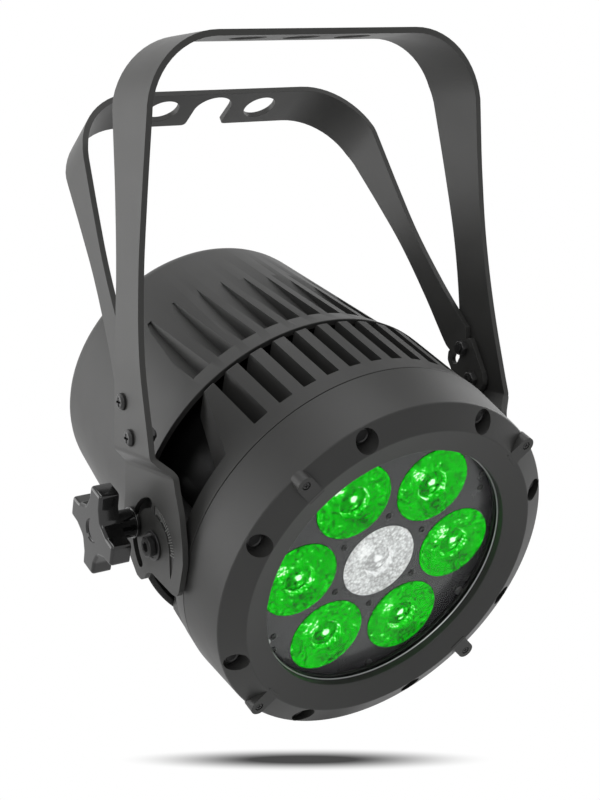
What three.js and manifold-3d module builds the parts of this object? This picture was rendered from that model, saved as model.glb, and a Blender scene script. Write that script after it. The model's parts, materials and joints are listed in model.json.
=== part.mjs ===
// Par can light on a double yoke. Millimetres, +Z up, the light faces -Y.
// Parts are drawn about the tilt axis (X) and moved at the end, so that the origin is the hanging point.
// In the head, d is the distance along the beam axis, positive towards the window (d = -y before tilting).
import * as THREE from 'three';
import Module from 'manifold-3d';

const wasm = await Module();
wasm.setup();

const RAD = Math.PI / 180;
const GAP = 0.3;                 // clearance between pieces that touch or turn
const SEAT = 0.15;               // clearance under a flat seat
const ROUND = 40;                // facets round the large shells
const SMALL = 12;                // facets round the small turned pieces

// Shells of the head: radii, and d along the beam
const TILT = 22.4;               // how far the head points down at rest
const BEZEL_R = 103.9;
const BEZEL_BACK = 27.5;
const RIM_R = BEZEL_R - 2.2;     // outer edge of the sloping front rim
const RIM_D = 59.6;
const RIDGE_R = BEZEL_R - 15.2;  // inner edge of the rim, where the front face begins
const RIDGE_D = 66;
const WINDOW_R = 74.6;
const WINDOW_D = 62;
const GLASS_R = WINDOW_R + 2.8;
const GLASS_BACK = 54.2;
const GLASS_THICK = 3;
const RECESS_R = 6.1;
const RECESS_RING = RIM_R - 6.9;
const RECESS_TURN = 21.1;        // the recesses and lugs sit turned by this much
const RECESS_FLOOR = 56.5;
const LUG_RING = RIM_R - 3.6;
const LUG_HALF = 4.75;
const HOUSING_FRONT = 27;
const BAND_BACK = 16;            // the plain band ends and the louvres begin
const LOUVRE_BACK = -28.5;
const LOUVRE_R = BEZEL_R - 0.8;
const RIB_IN_R = BEZEL_R - 11.9;
const LOUVRE_PITCH = 13.1;
const LOUVRE_WIDE = 7;
const LOUVRES = 11;
const COVER_FRONT = -29.8;
const COVER_FRONT_R = BEZEL_R - 1.1;
const COVER_RIM = -44.5;
const COVER_RIM_R = BEZEL_R - 5;
const COVER_BACK = -164;
const COVER_END = COVER_BACK + 10;
const COVER_END_R = BEZEL_R - 15.6;
const COVER_IN_R = BEZEL_R - 15.4;
const FLUTE_PITCH = 13.3;
const FLUTE_WIDE = 8.6;
const FLUTE_DEEP = 7;
const FLUTE_END = -104;
const FLUTES = 11;
const PANEL_R = BEZEL_R - 23.9;
const LEDGE_R = PANEL_R - 6;
const PANEL_BACK = COVER_BACK + 1;
const PANEL_FRONT = PANEL_BACK + 2.5;
const SINK_FRONT = 8;
const SINK_R = RIB_IN_R - 0.8;
const DRUM_R = COVER_IN_R - 0.5;
const DRUM_BACK = -50;
const FIN_BACK = -27;
const CLEAR = BEZEL_R + 8;       // half reach of cutting tools round the head

// Front yoke
const STRAP = 3.2;
const WASHER = 1.2;
const HINGE_WASHER_R = 8.4;
const TOP_Z = 258.5;             // tilt axis to the top face
const CORNER_R = 43;
const CORNER_END = 4.4;          // the corner ends this many degrees short of upright
const YOKE_BACK = 2.4;           // the strap sits this far behind the tilt axis
const BAR_WIDTH = 40;
const BAR_HOLE_R = 10;
const BAR_HOLE_X = 32.5;
const PLATE_X = BEZEL_R + 0.9 + STRAP;   // outer face of the lower plate, just clear of the head
const BEND_Z = 49.5;
const LEG = [                    // share of the leg, outer face, front edge, rear edge
  [1, PLATE_X - 4.5, -17.6, 20.8],
  [0.77, PLATE_X - 1.0, -13.2, 17.2],
  [0.534, PLATE_X + 2.8, -10.5, 15.1],
  [0.298, PLATE_X + 6.2, -11.8, 16.7],
  [0.062, PLATE_X + 7.9, -18.2, 20.6],
  [0, PLATE_X + 8.4, -20.2, 21.6],
].map(([share, ...rest]) => [BEND_Z + share * (TOP_Z - 39.5 - BEND_Z), ...rest]);
LEG.push([41, PLATE_X, -27.4, 27.6], [30, PLATE_X, -29.5, 28.8]);
const BAR_HALF = LEG[0][1] - CORNER_R * Math.cos(CORNER_END * RAD);   // straight half of the crossbar
const PLATE = [                  // outline of the lower plate: back, up
  [-28.4, 36], [28, 36], [30, 24], [33.6, 12], [34, 0], [30, -13], [23.5, -21.5], [18.5, -23.2],
  [14.8, -21.5], [10.7, -17], [5, -16.2], [-17, -22.3], [-21.5, -22.6], [-24.8, -19.5], [-31.4, -4],
  [-32.4, 6], [-31.6, 22],
];
const SLOT_R = 22.5;             // arc slot for the lock stud
const SLOT_FROM = -36;
const SLOT_TO = 86;
const STUD_ANGLE = 22;
const STUD_R = 2.5;
const PIVOT_R = 3;

// Rear yoke, drawn upright about its hinge. Folded forward, it nests inside the front one.
const FOLD = 31.9;               // how far it leans back at rest
const HINGE_Y = 1.5;
const HINGE_Z = 58.2;
const NEST_GAP = 1.1;
const REAR_TOP = TOP_Z - STRAP - NEST_GAP - HINGE_Z;
const REAR_CORNER_R = 42.5;
const REAR_CORNER_END = 5.4;
const END_X = legFace(HINGE_Z + HINGE_WASHER_R) - 1.01 * STRAP - WASHER - 2 * SEAT;   // end plates
const END_Z = 25;
const REAR_LEG = [               // share of the leg, outer face, half width
  [1, END_X - 12.9, 14.2],
  [0.762, END_X - 9.9, 10.4],
  [0.528, END_X - 7, 7.8],
  [0.264, END_X - 3.7, 8.6],
  [0.068, END_X - 1.1, 11.0],
  [0, END_X, 11.8],
].map(([share, ...rest]) => [END_Z + share * (REAR_TOP - 38.5 - END_Z), ...rest]);
REAR_LEG.push([10, END_X, 11.8]);
const REAR_HALF = REAR_LEG[0][1] - REAR_CORNER_R * Math.cos(REAR_CORNER_END * RAD);
const REAR_BAR_WIDTH = 31.2;
const HOOK_R = 12;               // half width of the hook slot
const END_PLATE = [
  [-9.4, -1], [-10.6, 10], [-11.6, 22], [11.6, 24], [15.4, 20], [15.8, 13], [9.4, -2], [6.6, -6.9],
  [0, -9.4], [-6.6, -6.8],
];
const LOCK_R = 19.3;             // hinge to the lock screw
const LOCK_FROM = -8.6;
const LOCK_TO = 28.9;
const SCREW_R = 2.5;
const SCREW_HEAD_R = 4.6;
const NUT_R = 4.6;

// Tilt pivots
const BRACKET_IN = DRUM_R + GAP;
const BRACKET_OUT = PLATE_X - STRAP - WASHER - 2 * SEAT;
const BRACKET_HALF = 20;
const KNOB_IN = PLATE_X + 14.5;
const KNOB_OUT = KNOB_IN + 11;
const KNOB_R = 25;
const KNOB_WAIST = 13;
const HUB_R = 8.5;

// Optics and zoom
const LENS_RING = 50;
const LENS_R = 22.4;
const LENS_FRONT = 52;
const LENS_BACK = 33;
const CARRIAGE_R = LENS_RING + LENS_R + 7.1;
const CARRIAGE_FRONT = 51.2;
const CARRIAGE_THICK = 2.4;
const ROD_RING = 74;
const ROD_R = 2.5;
const BOARD_R = 62;

// Rear panel fittings, in x and z on the panel
const BUTTON_R = 4.3;
const BUTTONS_X = [-27, -9, 9, 27];
const BUTTON_Z = 14;
const CONNECTORS = {
  power_in: [-42, -18], power_out: [-24, -50], data_in: [42, -18], data_out: [24, -50],
};
const FUSE_XZ = [0, -16];
const EYE_XZ = [0, 62];

const MATERIALS = {
  paint: [0x2a2b2c, 0.55, 0.35],
  black: [0x0d0d0e, 0.6, 0.2],
  steel: [0x9b9c9e, 0.35, 0.9],
  gloss: [0x080808, 0.12, 0],
  plastic: [0x18191a, 0.5, 0],
  glass: [0xdfe6e8, 0.05, 0],
  lens_green: [0x12c41c, 0.15, 0],
  lens_white: [0xd8efe6, 0.15, 0],
  alloy: [0xa9abad, 0.45, 0.8],
  board: [0xe4e6e4, 0.5, 0],
};

// ---------------------------------------------------------------- solids

function signedVolume(points, faces) {
  let sum = 0;
  for (let i = 0; i < faces.length; i += 3) {
    const [a, b, c] = [faces[i] * 3, faces[i + 1] * 3, faces[i + 2] * 3];
    sum += points[a] * (points[b + 1] * points[c + 2] - points[b + 2] * points[c + 1])
      + points[a + 1] * (points[b + 2] * points[c] - points[b] * points[c + 2])
      + points[a + 2] * (points[b] * points[c + 1] - points[b + 1] * points[c]);
  }
  return sum;
}

function solid(geometry) {
  const place = geometry.getAttribute('position');
  const order = geometry.index ? geometry.index.array : [...Array(place.count).keys()];
  const seen = new Map();
  const points = [];
  const faces = [];
  const find = (i) => {
    const point = [place.getX(i), place.getY(i), place.getZ(i)];
    const key = point.map((value) => Math.round(value * 1e4)).join();
    if (!seen.has(key)) {
      seen.set(key, points.length / 3);
      points.push(...point);
    }
    return seen.get(key);
  };
  for (let i = 0; i < order.length; i += 3) {
    const face = [find(order[i]), find(order[i + 1]), find(order[i + 2])];
    if (new Set(face).size === 3) faces.push(...face);
  }
  if (signedVolume(points, faces) < 0) {
    for (let i = 0; i < faces.length; i += 3) [faces[i], faces[i + 1]] = [faces[i + 1], faces[i]];
  }
  return new wasm.Manifold(new wasm.Mesh({
    numProp: 3,
    vertProperties: new Float32Array(points),
    triVerts: new Uint32Array(faces),
  }));
}

function join(...pieces) {
  return pieces.reduce((sum, piece) => sum.add(piece));
}

function cut(body, ...tools) {
  return tools.reduce((left, tool) => left.subtract(tool), body);
}

function box(x0, x1, y0, y1, z0, z1) {
  const shape = new THREE.BoxGeometry(x1 - x0, y1 - y0, z1 - z0);
  shape.translate((x0 + x1) / 2, (y0 + y1) / 2, (z0 + z1) / 2);
  return solid(shape);
}

// A box in head terms: d runs along the beam.
function block(x0, x1, d0, d1, z0, z1) {
  return box(x0, x1, -d1, -d0, z0, z1);
}

// A cylinder along the beam axis.
function axial(radius, d0, d1, x = 0, z = 0, facets = SMALL) {
  const shape = new THREE.CylinderGeometry(radius, radius, d1 - d0, facets);
  shape.translate(x, -(d0 + d1) / 2, z);
  return solid(shape);
}

// A cylinder along X.
function across(radius, x0, x1, y = 0, z = 0, facets = SMALL) {
  const shape = new THREE.CylinderGeometry(radius, radius, x1 - x0, facets);
  shape.rotateZ(Math.PI / 2);
  shape.translate((x0 + x1) / 2, y, z);
  return solid(shape);
}

function upright(radius, z0, z1, x, y, facets = SMALL) {
  const shape = new THREE.CylinderGeometry(radius, radius, z1 - z0, facets);
  shape.rotateX(Math.PI / 2);
  shape.translate(x, y, (z0 + z1) / 2);
  return solid(shape);
}

// A turned shell: a closed profile of [radius, d] spun round the beam axis.
function turned(profile, facets = ROUND) {
  const loop = [...profile, profile[0]].map(([radius, d]) => new THREE.Vector2(radius, -d));
  return solid(new THREE.LatheGeometry(loop, facets));
}

// A flat outline in one plane, given thickness.
function slab(outline, thick) {
  const shape = new THREE.Shape(outline.map(([u, v]) => new THREE.Vector2(u, v)));
  return new THREE.ExtrudeGeometry(shape, { depth: thick, bevelEnabled: false });
}

// An outline in (y, z) standing between two X planes.
function sideSlab(outline, x0, x1) {
  const shape = slab(outline, x1 - x0);
  shape.applyMatrix4(new THREE.Matrix4().set(0, 0, 1, x0, 1, 0, 0, 0, 0, 1, 0, 0, 0, 0, 0, 1));
  return solid(shape);
}

// An outline in (x, d) standing between two z planes.
function planSlab(outline, z0, z1) {
  const shape = slab(outline, z1 - z0);
  shape.applyMatrix4(new THREE.Matrix4().set(1, 0, 0, 0, 0, -1, 0, 0, 0, 0, 1, z0, 0, 0, 0, 1));
  return solid(shape);
}

// An arc slot about a centre in (y, z); angles from +Y towards +Z.
function arcSlot(radius, from, to, half, x0, x1, steps = 12) {
  const outline = [];
  const put = (angle, r) => outline.push([r * Math.cos(angle * RAD), r * Math.sin(angle * RAD)]);
  for (let i = 0; i <= steps; i += 1) put(from + ((to - from) * i) / steps, radius + half);
  for (let i = 1; i < 6; i += 1) {
    const turn = (to + i * 30) * RAD;
    outline.push([radius * Math.cos(to * RAD) + half * Math.cos(turn),
      radius * Math.sin(to * RAD) + half * Math.sin(turn)]);
  }
  for (let i = steps; i >= 0; i -= 1) put(from + ((to - from) * i) / steps, radius - half);
  for (let i = 1; i < 6; i += 1) {
    const turn = (from + 180 + i * 30) * RAD;
    outline.push([radius * Math.cos(from * RAD) + half * Math.cos(turn),
      radius * Math.sin(from * RAD) + half * Math.sin(turn)]);
  }
  return sideSlab(outline, x0, x1);
}

// A bent strap of one thickness. Stations run from the middle down one leg: [x, z, front, rear].
function strap(stations, thick) {
  const path = [...stations].reverse().map(([x, z, front, rear]) => [-x, z, front, rear]);
  path.push(...stations.slice(stations[0][0] === 0 ? 1 : 0));
  const way = path.slice(1).map(([x, z], i) => {
    const run = new THREE.Vector2(x - path[i][0], z - path[i][1]);
    return run.normalize();
  });
  const points = [];
  path.forEach(([x, z, front, rear], i) => {
    const before = way[Math.max(i - 1, 0)];
    const after = way[Math.min(i, way.length - 1)];
    const mean = before.clone().add(after).normalize();
    const reach = thick / mean.dot(before);
    const inX = x + mean.y * reach;
    const inZ = z - mean.x * reach;
    points.push(x, front, z, x, rear, z, inX, rear, inZ, inX, front, inZ);
  });
  const faces = [0, 1, 2, 0, 2, 3];
  const last = (path.length - 1) * 4;
  faces.push(last, last + 2, last + 1, last, last + 3, last + 2);
  for (let i = 0; i < last; i += 4) {
    for (let k = 0; k < 4; k += 1) {
      const n = (k + 1) % 4;
      faces.push(i + k, i + 4 + n, i + n, i + k, i + 4 + k, i + 4 + n);
    }
  }
  const shape = new THREE.BufferGeometry();
  shape.setAttribute('position', new THREE.Float32BufferAttribute(points, 3));
  shape.setIndex(faces);
  return solid(shape);
}

function cornerStations(half, top, radius, endAngle, front, rear, steps = 5) {
  const stations = [];
  for (let i = 0; i < steps; i += 1) {
    const angle = (90 - ((90 - endAngle) * i) / steps) * RAD;
    stations.push([half + radius * Math.cos(angle), top - radius + radius * Math.sin(angle), front, rear]);
  }
  return stations;
}

// ---------------------------------------------------------------- placing

const HEAD_TURN = new THREE.Matrix4().makeRotationX(TILT * RAD);
const FOLD_TURN = new THREE.Matrix4().makeTranslation(0, HINGE_Y, HINGE_Z)
  .multiply(new THREE.Matrix4().makeRotationX(-FOLD * RAD));
const ROW_SHIFT = new THREE.Matrix4().makeTranslation(0, -YOKE_BACK, -TOP_Z);

function addPart(group, name, body, material, turn = null) {
  const made = body.getMesh();
  const shape = new THREE.BufferGeometry();
  shape.setAttribute('position', new THREE.BufferAttribute(new Float32Array(made.vertProperties), 3));
  shape.setIndex(new THREE.BufferAttribute(new Uint32Array(made.triVerts), 1));
  if (turn) shape.applyMatrix4(turn);
  shape.applyMatrix4(ROW_SHIFT);
  const [color, roughness, metalness] = MATERIALS[material];
  const mesh = new THREE.Mesh(shape, new THREE.MeshStandardMaterial({ color, roughness, metalness }));
  mesh.name = name;
  group.add(mesh);
}

function onRing(radius, angle) {
  return [radius * Math.cos(angle * RAD), radius * Math.sin(angle * RAD)];
}

const STUD_YZ = onRing(SLOT_R, STUD_ANGLE - TILT);
const LOCK_YZ = [HINGE_Y + LOCK_R * Math.sin((FOLD + LOCK_FROM) * RAD),
  HINGE_Z + LOCK_R * Math.cos((FOLD + LOCK_FROM) * RAD)];
const SIDES = { left: -1, right: 1 };

// A span of X on one side, in rising order.
function span(side, near, far) {
  return side > 0 ? [near, far] : [-far, -near];
}

// ---------------------------------------------------------------- yokes

function frontYoke() {
  const back = YOKE_BACK + BAR_WIDTH / 2;
  const front = YOKE_BACK - BAR_WIDTH / 2;
  const stations = [[0, TOP_Z, front, back],
    ...cornerStations(BAR_HALF, TOP_Z, CORNER_R, CORNER_END, front, back),
    ...LEG.map(([z, x, near, far]) => [x, z, near, far])];
  let body = strap(stations, STRAP);
  for (const side of Object.values(SIDES)) {
    const [x0, x1] = span(side, PLATE_X - STRAP, PLATE_X);
    body = body.add(sideSlab(PLATE, x0, x1));
    const [w0, w1] = span(side, PLATE_X - 5, PLATE_X + 12);
    body = cut(body, across(PIVOT_R + GAP, w0, w1),
      arcSlot(SLOT_R, SLOT_FROM, SLOT_TO, STUD_R + GAP, w0, w1),
      across(SCREW_R + GAP, w0, w1, HINGE_Y, HINGE_Z),
      across(SCREW_R + GAP, w0, w1, ...LOCK_YZ));
  }
  for (const x of [-BAR_HOLE_X, 0, BAR_HOLE_X]) {
    body = cut(body, upright(BAR_HOLE_R, TOP_Z - 6, TOP_Z + 2, x, YOKE_BACK, 20));
  }
  return body;
}

function rearYoke() {
  const half = REAR_BAR_WIDTH / 2;
  const stations = [[0, REAR_TOP, -half, half],
    ...cornerStations(REAR_HALF, REAR_TOP, REAR_CORNER_R, REAR_CORNER_END, -half, half),
    ...REAR_LEG.map(([z, x, wide]) => [x, z, -wide, wide])];
  let body = strap(stations, STRAP);
  for (const side of Object.values(SIDES)) {
    const [x0, x1] = span(side, END_X - STRAP, END_X);
    body = body.add(sideSlab(END_PLATE, x0, x1));
    body = cut(body, across(SCREW_R + GAP, x0 - 2, x1 + 2),
      arcSlot(LOCK_R, 90 - LOCK_TO, 90 - LOCK_FROM, SCREW_R + GAP, x0 - 2, x1 + 2, 6));
  }
  for (const x of [-BAR_HOLE_X, BAR_HOLE_X]) {
    body = cut(body, upright(BAR_HOLE_R, REAR_TOP - 6, REAR_TOP + 2, x, 0, 20));
  }
  return cut(body, upright(HOOK_R, REAR_TOP - 6, REAR_TOP + 2, 0, 0, 20),
    box(-HOOK_R, HOOK_R, 0, half + 2, REAR_TOP - 6, REAR_TOP + 2));
}

function legFace(height) {
  const low = LEG.findIndex(([z]) => z <= height);
  const [z1, x1] = LEG[low];
  const [z0, x0] = LEG[low - 1];
  return x1 + ((x0 - x1) * (height - z1)) / (z0 - z1);
}

// A pan head screw through the front leg and the end plate of the rear yoke.
function yokeScrew(side, [y, z]) {
  const face = legFace(z) + 0.25;
  const head = across(SCREW_HEAD_R, ...span(side, face, face + 2.4), y, z);
  return head.add(across(SCREW_R, ...span(side, END_X - STRAP - 5.4, face + 1), y, z));
}

function nut(side, [y, z]) {
  const outer = END_X - STRAP - SEAT;
  const hex = across(NUT_R, ...span(side, outer - 4, outer), y, z, 6);
  return cut(hex, across(SCREW_R + GAP, ...span(side, outer - 6, outer + 2), y, z));
}

function hingeWasher(side) {
  const inner = END_X + SEAT;
  const disc = across(HINGE_WASHER_R, ...span(side, inner, inner + WASHER), HINGE_Y, HINGE_Z, 16);
  return cut(disc, across(SCREW_R + GAP, ...span(side, inner - 2, inner + 4), HINGE_Y, HINGE_Z));
}

function addYokes(group) {
  addPart(group, 'front_yoke', frontYoke(), 'paint');
  addPart(group, 'rear_yoke', rearYoke(), 'paint', FOLD_TURN);
  for (const [word, side] of Object.entries(SIDES)) {
    addPart(group, `hinge_screw_${word}`, yokeScrew(side, [HINGE_Y, HINGE_Z]), 'black');
    addPart(group, `lock_screw_${word}`, yokeScrew(side, LOCK_YZ), 'black');
    addPart(group, `hinge_nut_${word}`, nut(side, [HINGE_Y, HINGE_Z]), 'steel');
    addPart(group, `lock_nut_${word}`, nut(side, LOCK_YZ), 'steel');
    addPart(group, `hinge_washer_${word}`, hingeWasher(side), 'steel');
  }
}

// ---------------------------------------------------------------- tilt pivots

function sideBracket(side) {
  const [x0, x1] = span(side, BRACKET_IN, BRACKET_OUT);
  const plate = sideSlab([[-15.5, -BRACKET_HALF], [24, -BRACKET_HALF], [32, -9], [32, 9],
    [24, BRACKET_HALF], [-15.5, BRACKET_HALF]], x0, x1);
  const [w0, w1] = span(side, BRACKET_IN + 2, BRACKET_OUT + 2);
  return cut(plate, across(PIVOT_R + GAP, w0, w1), across(STUD_R + GAP, w0, w1, ...STUD_YZ));
}

function pivotBolt(side) {
  const under = PLATE_X + WASHER + 2 * SEAT;
  const head = across(5.5, ...span(side, under, under + 3.6));
  const socket = across(2.9, ...span(side, under + 1.4, under + 6), 0, 0, 6);
  return cut(head.add(across(PIVOT_R, ...span(side, BRACKET_IN + 3, under + 1))), socket);
}

function pivotWasher(side) {
  const inner = PLATE_X + SEAT;
  const disc = across(8, ...span(side, inner, inner + WASHER), 0, 0, 16);
  return cut(disc, across(PIVOT_R + GAP, ...span(side, inner - 2, inner + 4)));
}

function frictionDisc(side) {
  const [x0, x1] = span(side, BRACKET_OUT + SEAT, PLATE_X - STRAP - SEAT);
  return cut(across(14, x0, x1, 0, 0, 16), across(PIVOT_R + GAP, x0 - 2, x1 + 2));
}

function lockStud(side) {
  return across(STUD_R, ...span(side, BRACKET_IN + 4, KNOB_IN + 6), ...STUD_YZ);
}

// Four lobes on a waisted hub, with a blind hole for the stud.
function knob(side) {
  const outline = [];
  for (let i = 0; i < 40; i += 1) {
    const angle = (i / 40) * 360;
    const wave = Math.max(-1, Math.min(1, 1.6 * Math.cos(4 * angle * RAD)));
    const [y, z] = onRing((KNOB_R * (1 + wave) + KNOB_WAIST * (1 - wave)) / 2, angle);
    outline.push([y + STUD_YZ[0], z + STUD_YZ[1]]);
  }
  const grip = sideSlab(outline, ...span(side, KNOB_IN, KNOB_OUT));
  const hub = across(HUB_R, ...span(side, PLATE_X + 2 * SEAT, KNOB_IN + 2), ...STUD_YZ, 16);
  const hole = across(STUD_R + GAP, ...span(side, PLATE_X - 2, KNOB_IN + 7), ...STUD_YZ);
  return cut(grip.add(hub), hole);
}

function addPivots(group) {
  for (const [word, side] of Object.entries(SIDES)) {
    addPart(group, `side_bracket_${word}`, sideBracket(side), 'black', HEAD_TURN);
    addPart(group, `pivot_bolt_${word}`, pivotBolt(side), 'black', HEAD_TURN);
    addPart(group, `pivot_washer_${word}`, pivotWasher(side), 'steel', HEAD_TURN);
    addPart(group, `friction_disc_${word}`, frictionDisc(side), 'plastic', HEAD_TURN);
    addPart(group, `lock_stud_${word}`, lockStud(side), 'steel', HEAD_TURN);
    addPart(group, `tilt_knob_${word}`, knob(side), 'gloss', HEAD_TURN);
  }
}

// ---------------------------------------------------------------- head shells

function frontBezel() {
  const glassFront = GLASS_BACK + GLASS_THICK + SEAT;
  let body = turned([
    [BEZEL_R, BEZEL_BACK], [RIM_R, RIM_D], [RIDGE_R, RIDGE_D], [WINDOW_R, WINDOW_D],
    [WINDOW_R, glassFront], [GLASS_R + GAP, glassFront], [GLASS_R + GAP, GLASS_BACK - 2.2],
    [GLASS_R + 3.7, GLASS_BACK - 2.2], [GLASS_R + 6.2, 58], [RIM_R - 3.5, RIM_D - 3.1],
    [BEZEL_R - 3.5, BEZEL_BACK],
  ]);
  for (let i = 0; i < 8; i += 1) {
    const place = onRing(RECESS_RING, RECESS_TURN + 45 * i);
    body = body.add(axial(RECESS_R + 0.7, RECESS_FLOOR - 5, RIM_D, ...place));
  }
  for (let i = 0; i < 8; i += 1) {
    const place = onRing(RECESS_RING, RECESS_TURN + 45 * i);
    body = cut(body, axial(RECESS_R, RECESS_FLOOR, RIDGE_D + 2, ...place));
  }
  for (let i = 0; i < 4; i += 1) body = body.add(frontLug(RECESS_TURN + 22.5 + 90 * i));
  return body;
}

// A lug that carries the front face out over the rim, with a round end.
function frontLug(angle) {
  const [x, z] = onRing(LUG_RING, angle);
  const arm = new THREE.BoxGeometry(LUG_RING - RIDGE_R + 2, 7.3, 2 * LUG_HALF);
  arm.translate((LUG_RING + RIDGE_R - 2) / 2, -(RIDGE_D - 3.85), 0);
  arm.rotateY(-angle * RAD);
  return solid(arm).add(axial(LUG_HALF, RIDGE_D - 7.5, RIDGE_D - 0.2, x, z));
}

function windowGlass() {
  return axial(GLASS_R, GLASS_BACK, GLASS_BACK + GLASS_THICK, 0, 0, ROUND);
}

function glassRing() {
  const inner = GLASS_R - 3;
  return turned([[inner, GLASS_BACK - 2], [GLASS_R, GLASS_BACK - 2], [GLASS_R, GLASS_BACK - SEAT],
    [inner, GLASS_BACK - SEAT]]);
}

function frontHousing() {
  let body = turned([
    [BEZEL_R, HOUSING_FRONT], [LOUVRE_R, BAND_BACK], [COVER_FRONT_R, LOUVRE_BACK], [RIB_IN_R, LOUVRE_BACK],
    [RIB_IN_R, BAND_BACK - 4], [RIB_IN_R + 4, BAND_BACK], [RIB_IN_R + 4, HOUSING_FRONT],
  ]);
  for (const side of Object.values(SIDES)) {
    const plan = [[BEZEL_R - 30.9, LOUVRE_BACK - 1], [BEZEL_R - 20.9, BAND_BACK], [CLEAR, BAND_BACK],
      [CLEAR, LOUVRE_BACK - 1]];
    body = cut(body, planSlab(plan.map(([x, d]) => [side * x, d]), -CLEAR, CLEAR));
  }
  const half = LOUVRE_WIDE / 2;
  for (let i = 0; i < LOUVRES; i += 1) {
    const x = (i - (LOUVRES - 1) / 2) * LOUVRE_PITCH;
    body = cut(body, block(x - half, x + half, LOUVRE_BACK - 1, BAND_BACK, -CLEAR, CLEAR));
  }
  return body;
}

function coverRadius(d) {
  return COVER_RIM_R + ((COVER_END_R - COVER_RIM_R) * (d - COVER_RIM)) / (COVER_END - COVER_RIM);
}

function rearCover() {
  let body = turned([
    [COVER_FRONT_R, COVER_FRONT], [COVER_RIM_R, COVER_RIM], [COVER_END_R, COVER_END],
    [COVER_END_R - 2.9, COVER_BACK + 2.8], [PANEL_R + 0.6, COVER_BACK], [PANEL_R + 0.4, COVER_BACK],
    [PANEL_R + 0.4, PANEL_FRONT + 0.2], [LEDGE_R, PANEL_FRONT + 0.2], [LEDGE_R, PANEL_FRONT + 3.5],
    [PANEL_R, PANEL_FRONT + 5.5], [COVER_IN_R - 3.5, PANEL_FRONT + 12.5], [COVER_IN_R, COVER_BACK + 56],
    [COVER_IN_R, COVER_RIM + 0.5], [COVER_FRONT_R - 3.3, COVER_FRONT],
  ]);
  for (let i = 0; i < FLUTES; i += 1) {
    const x = (i - (FLUTES - 1) / 2) * FLUTE_PITCH;
    const deep = Math.sqrt(COVER_RIM_R ** 2 - x ** 2) - FLUTE_DEEP;
    const shallow = Math.sqrt(coverRadius(FLUTE_END) ** 2 - x ** 2);
    for (const up of [1, -1]) {
      const outline = [[-COVER_RIM, up * deep], [-FLUTE_END, up * shallow], [-FLUTE_END, up * CLEAR],
        [-COVER_RIM, up * CLEAR]];
      body = cut(body, sideSlab(outline, x - FLUTE_WIDE / 2, x + FLUTE_WIDE / 2));
    }
  }
  for (const side of Object.values(SIDES)) {
    const [x0, x1] = span(side, BRACKET_IN - 2, CLEAR);
    body = cut(body, block(x0, x1, -34, COVER_FRONT + 1, -22, 22));
  }
  return body;
}

function addShells(group) {
  addPart(group, 'front_bezel', frontBezel(), 'paint', HEAD_TURN);
  addPart(group, 'window_glass', windowGlass(), 'glass', HEAD_TURN);
  addPart(group, 'glass_ring', glassRing(), 'steel', HEAD_TURN);
  addPart(group, 'front_housing', frontHousing(), 'paint', HEAD_TURN);
  addPart(group, 'rear_cover', rearCover(), 'paint', HEAD_TURN);
}

// ---------------------------------------------------------------- cooling, light engine and zoom

function heatSink() {
  let body = join(
    axial(SINK_R, 0, SINK_FRONT, 0, 0, ROUND),
    turned([[DRUM_R, 0.5], [DRUM_R, DRUM_BACK], [DRUM_R - 3.5, DRUM_BACK], [DRUM_R - 3.5, 0.5]]),
  );
  for (let i = -5; i <= 5; i += 1) {
    const x = i * 14;
    const reach = Math.sqrt((DRUM_R - 2) ** 2 - (Math.abs(x) + 1.2) ** 2);
    body = body.add(block(x - 1.2, x + 1.2, FIN_BACK, 0.5, -reach, reach));
  }
  for (const side of Object.values(SIDES)) {
    const [x0, x1] = span(side, DRUM_R, CLEAR);
    body = cut(body, block(x0, x1, -4, SINK_FRONT + 1, -BRACKET_HALF - 1, BRACKET_HALF + 1));
  }
  return body;
}

function ledBoard() {
  let body = axial(BOARD_R, SINK_FRONT + SEAT, SINK_FRONT + 1.8, 0, 0, 32);
  for (const [x, z] of lensPlaces()) {
    body = body.add(block(x - 3.5, x + 3.5, SINK_FRONT + 1, SINK_FRONT + 2.6, z - 3.5, z + 3.5));
  }
  return body;
}

function lensPlaces() {
  const places = [[0, 0]];
  for (let i = 0; i < 6; i += 1) places.push(onRing(LENS_RING, 60 * i));
  return places;
}

function lens([x, z]) {
  const profile = [[0, LENS_FRONT - 1], [6, LENS_FRONT - 1], [8, LENS_FRONT], [LENS_R, LENS_FRONT],
    [LENS_R, LENS_FRONT - 3.4], [18, 41], [9, LENS_BACK], [0, LENS_BACK]];
  const loop = profile.map(([radius, d]) => new THREE.Vector2(radius, -d));
  const shape = new THREE.LatheGeometry(loop, 14);
  shape.translate(x, 0, z);
  return solid(shape);
}

const ROD_ANGLES = [210, 330];
const SCREW_ANGLE = 90;

function lensCarriage() {
  let body = axial(CARRIAGE_R, CARRIAGE_FRONT - CARRIAGE_THICK, CARRIAGE_FRONT, 0, 0, ROUND);
  for (const angle of [...ROD_ANGLES, SCREW_ANGLE]) {
    body = body.add(axial(4.8, CARRIAGE_FRONT - 7.4, CARRIAGE_FRONT - 1, ...onRing(ROD_RING, angle)));
  }
  for (const place of lensPlaces()) {
    body = cut(body, axial(LENS_R + GAP, 40, 60, ...place, 14));
  }
  for (const angle of [...ROD_ANGLES, SCREW_ANGLE]) {
    body = cut(body, axial(ROD_R + GAP, 38, 60, ...onRing(ROD_RING, angle)));
  }
  return body;
}

function zoomMotor() {
  return axial(10, SINK_FRONT + SEAT, 21.6, ...onRing(ROD_RING, SCREW_ANGLE), 20);
}

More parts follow.
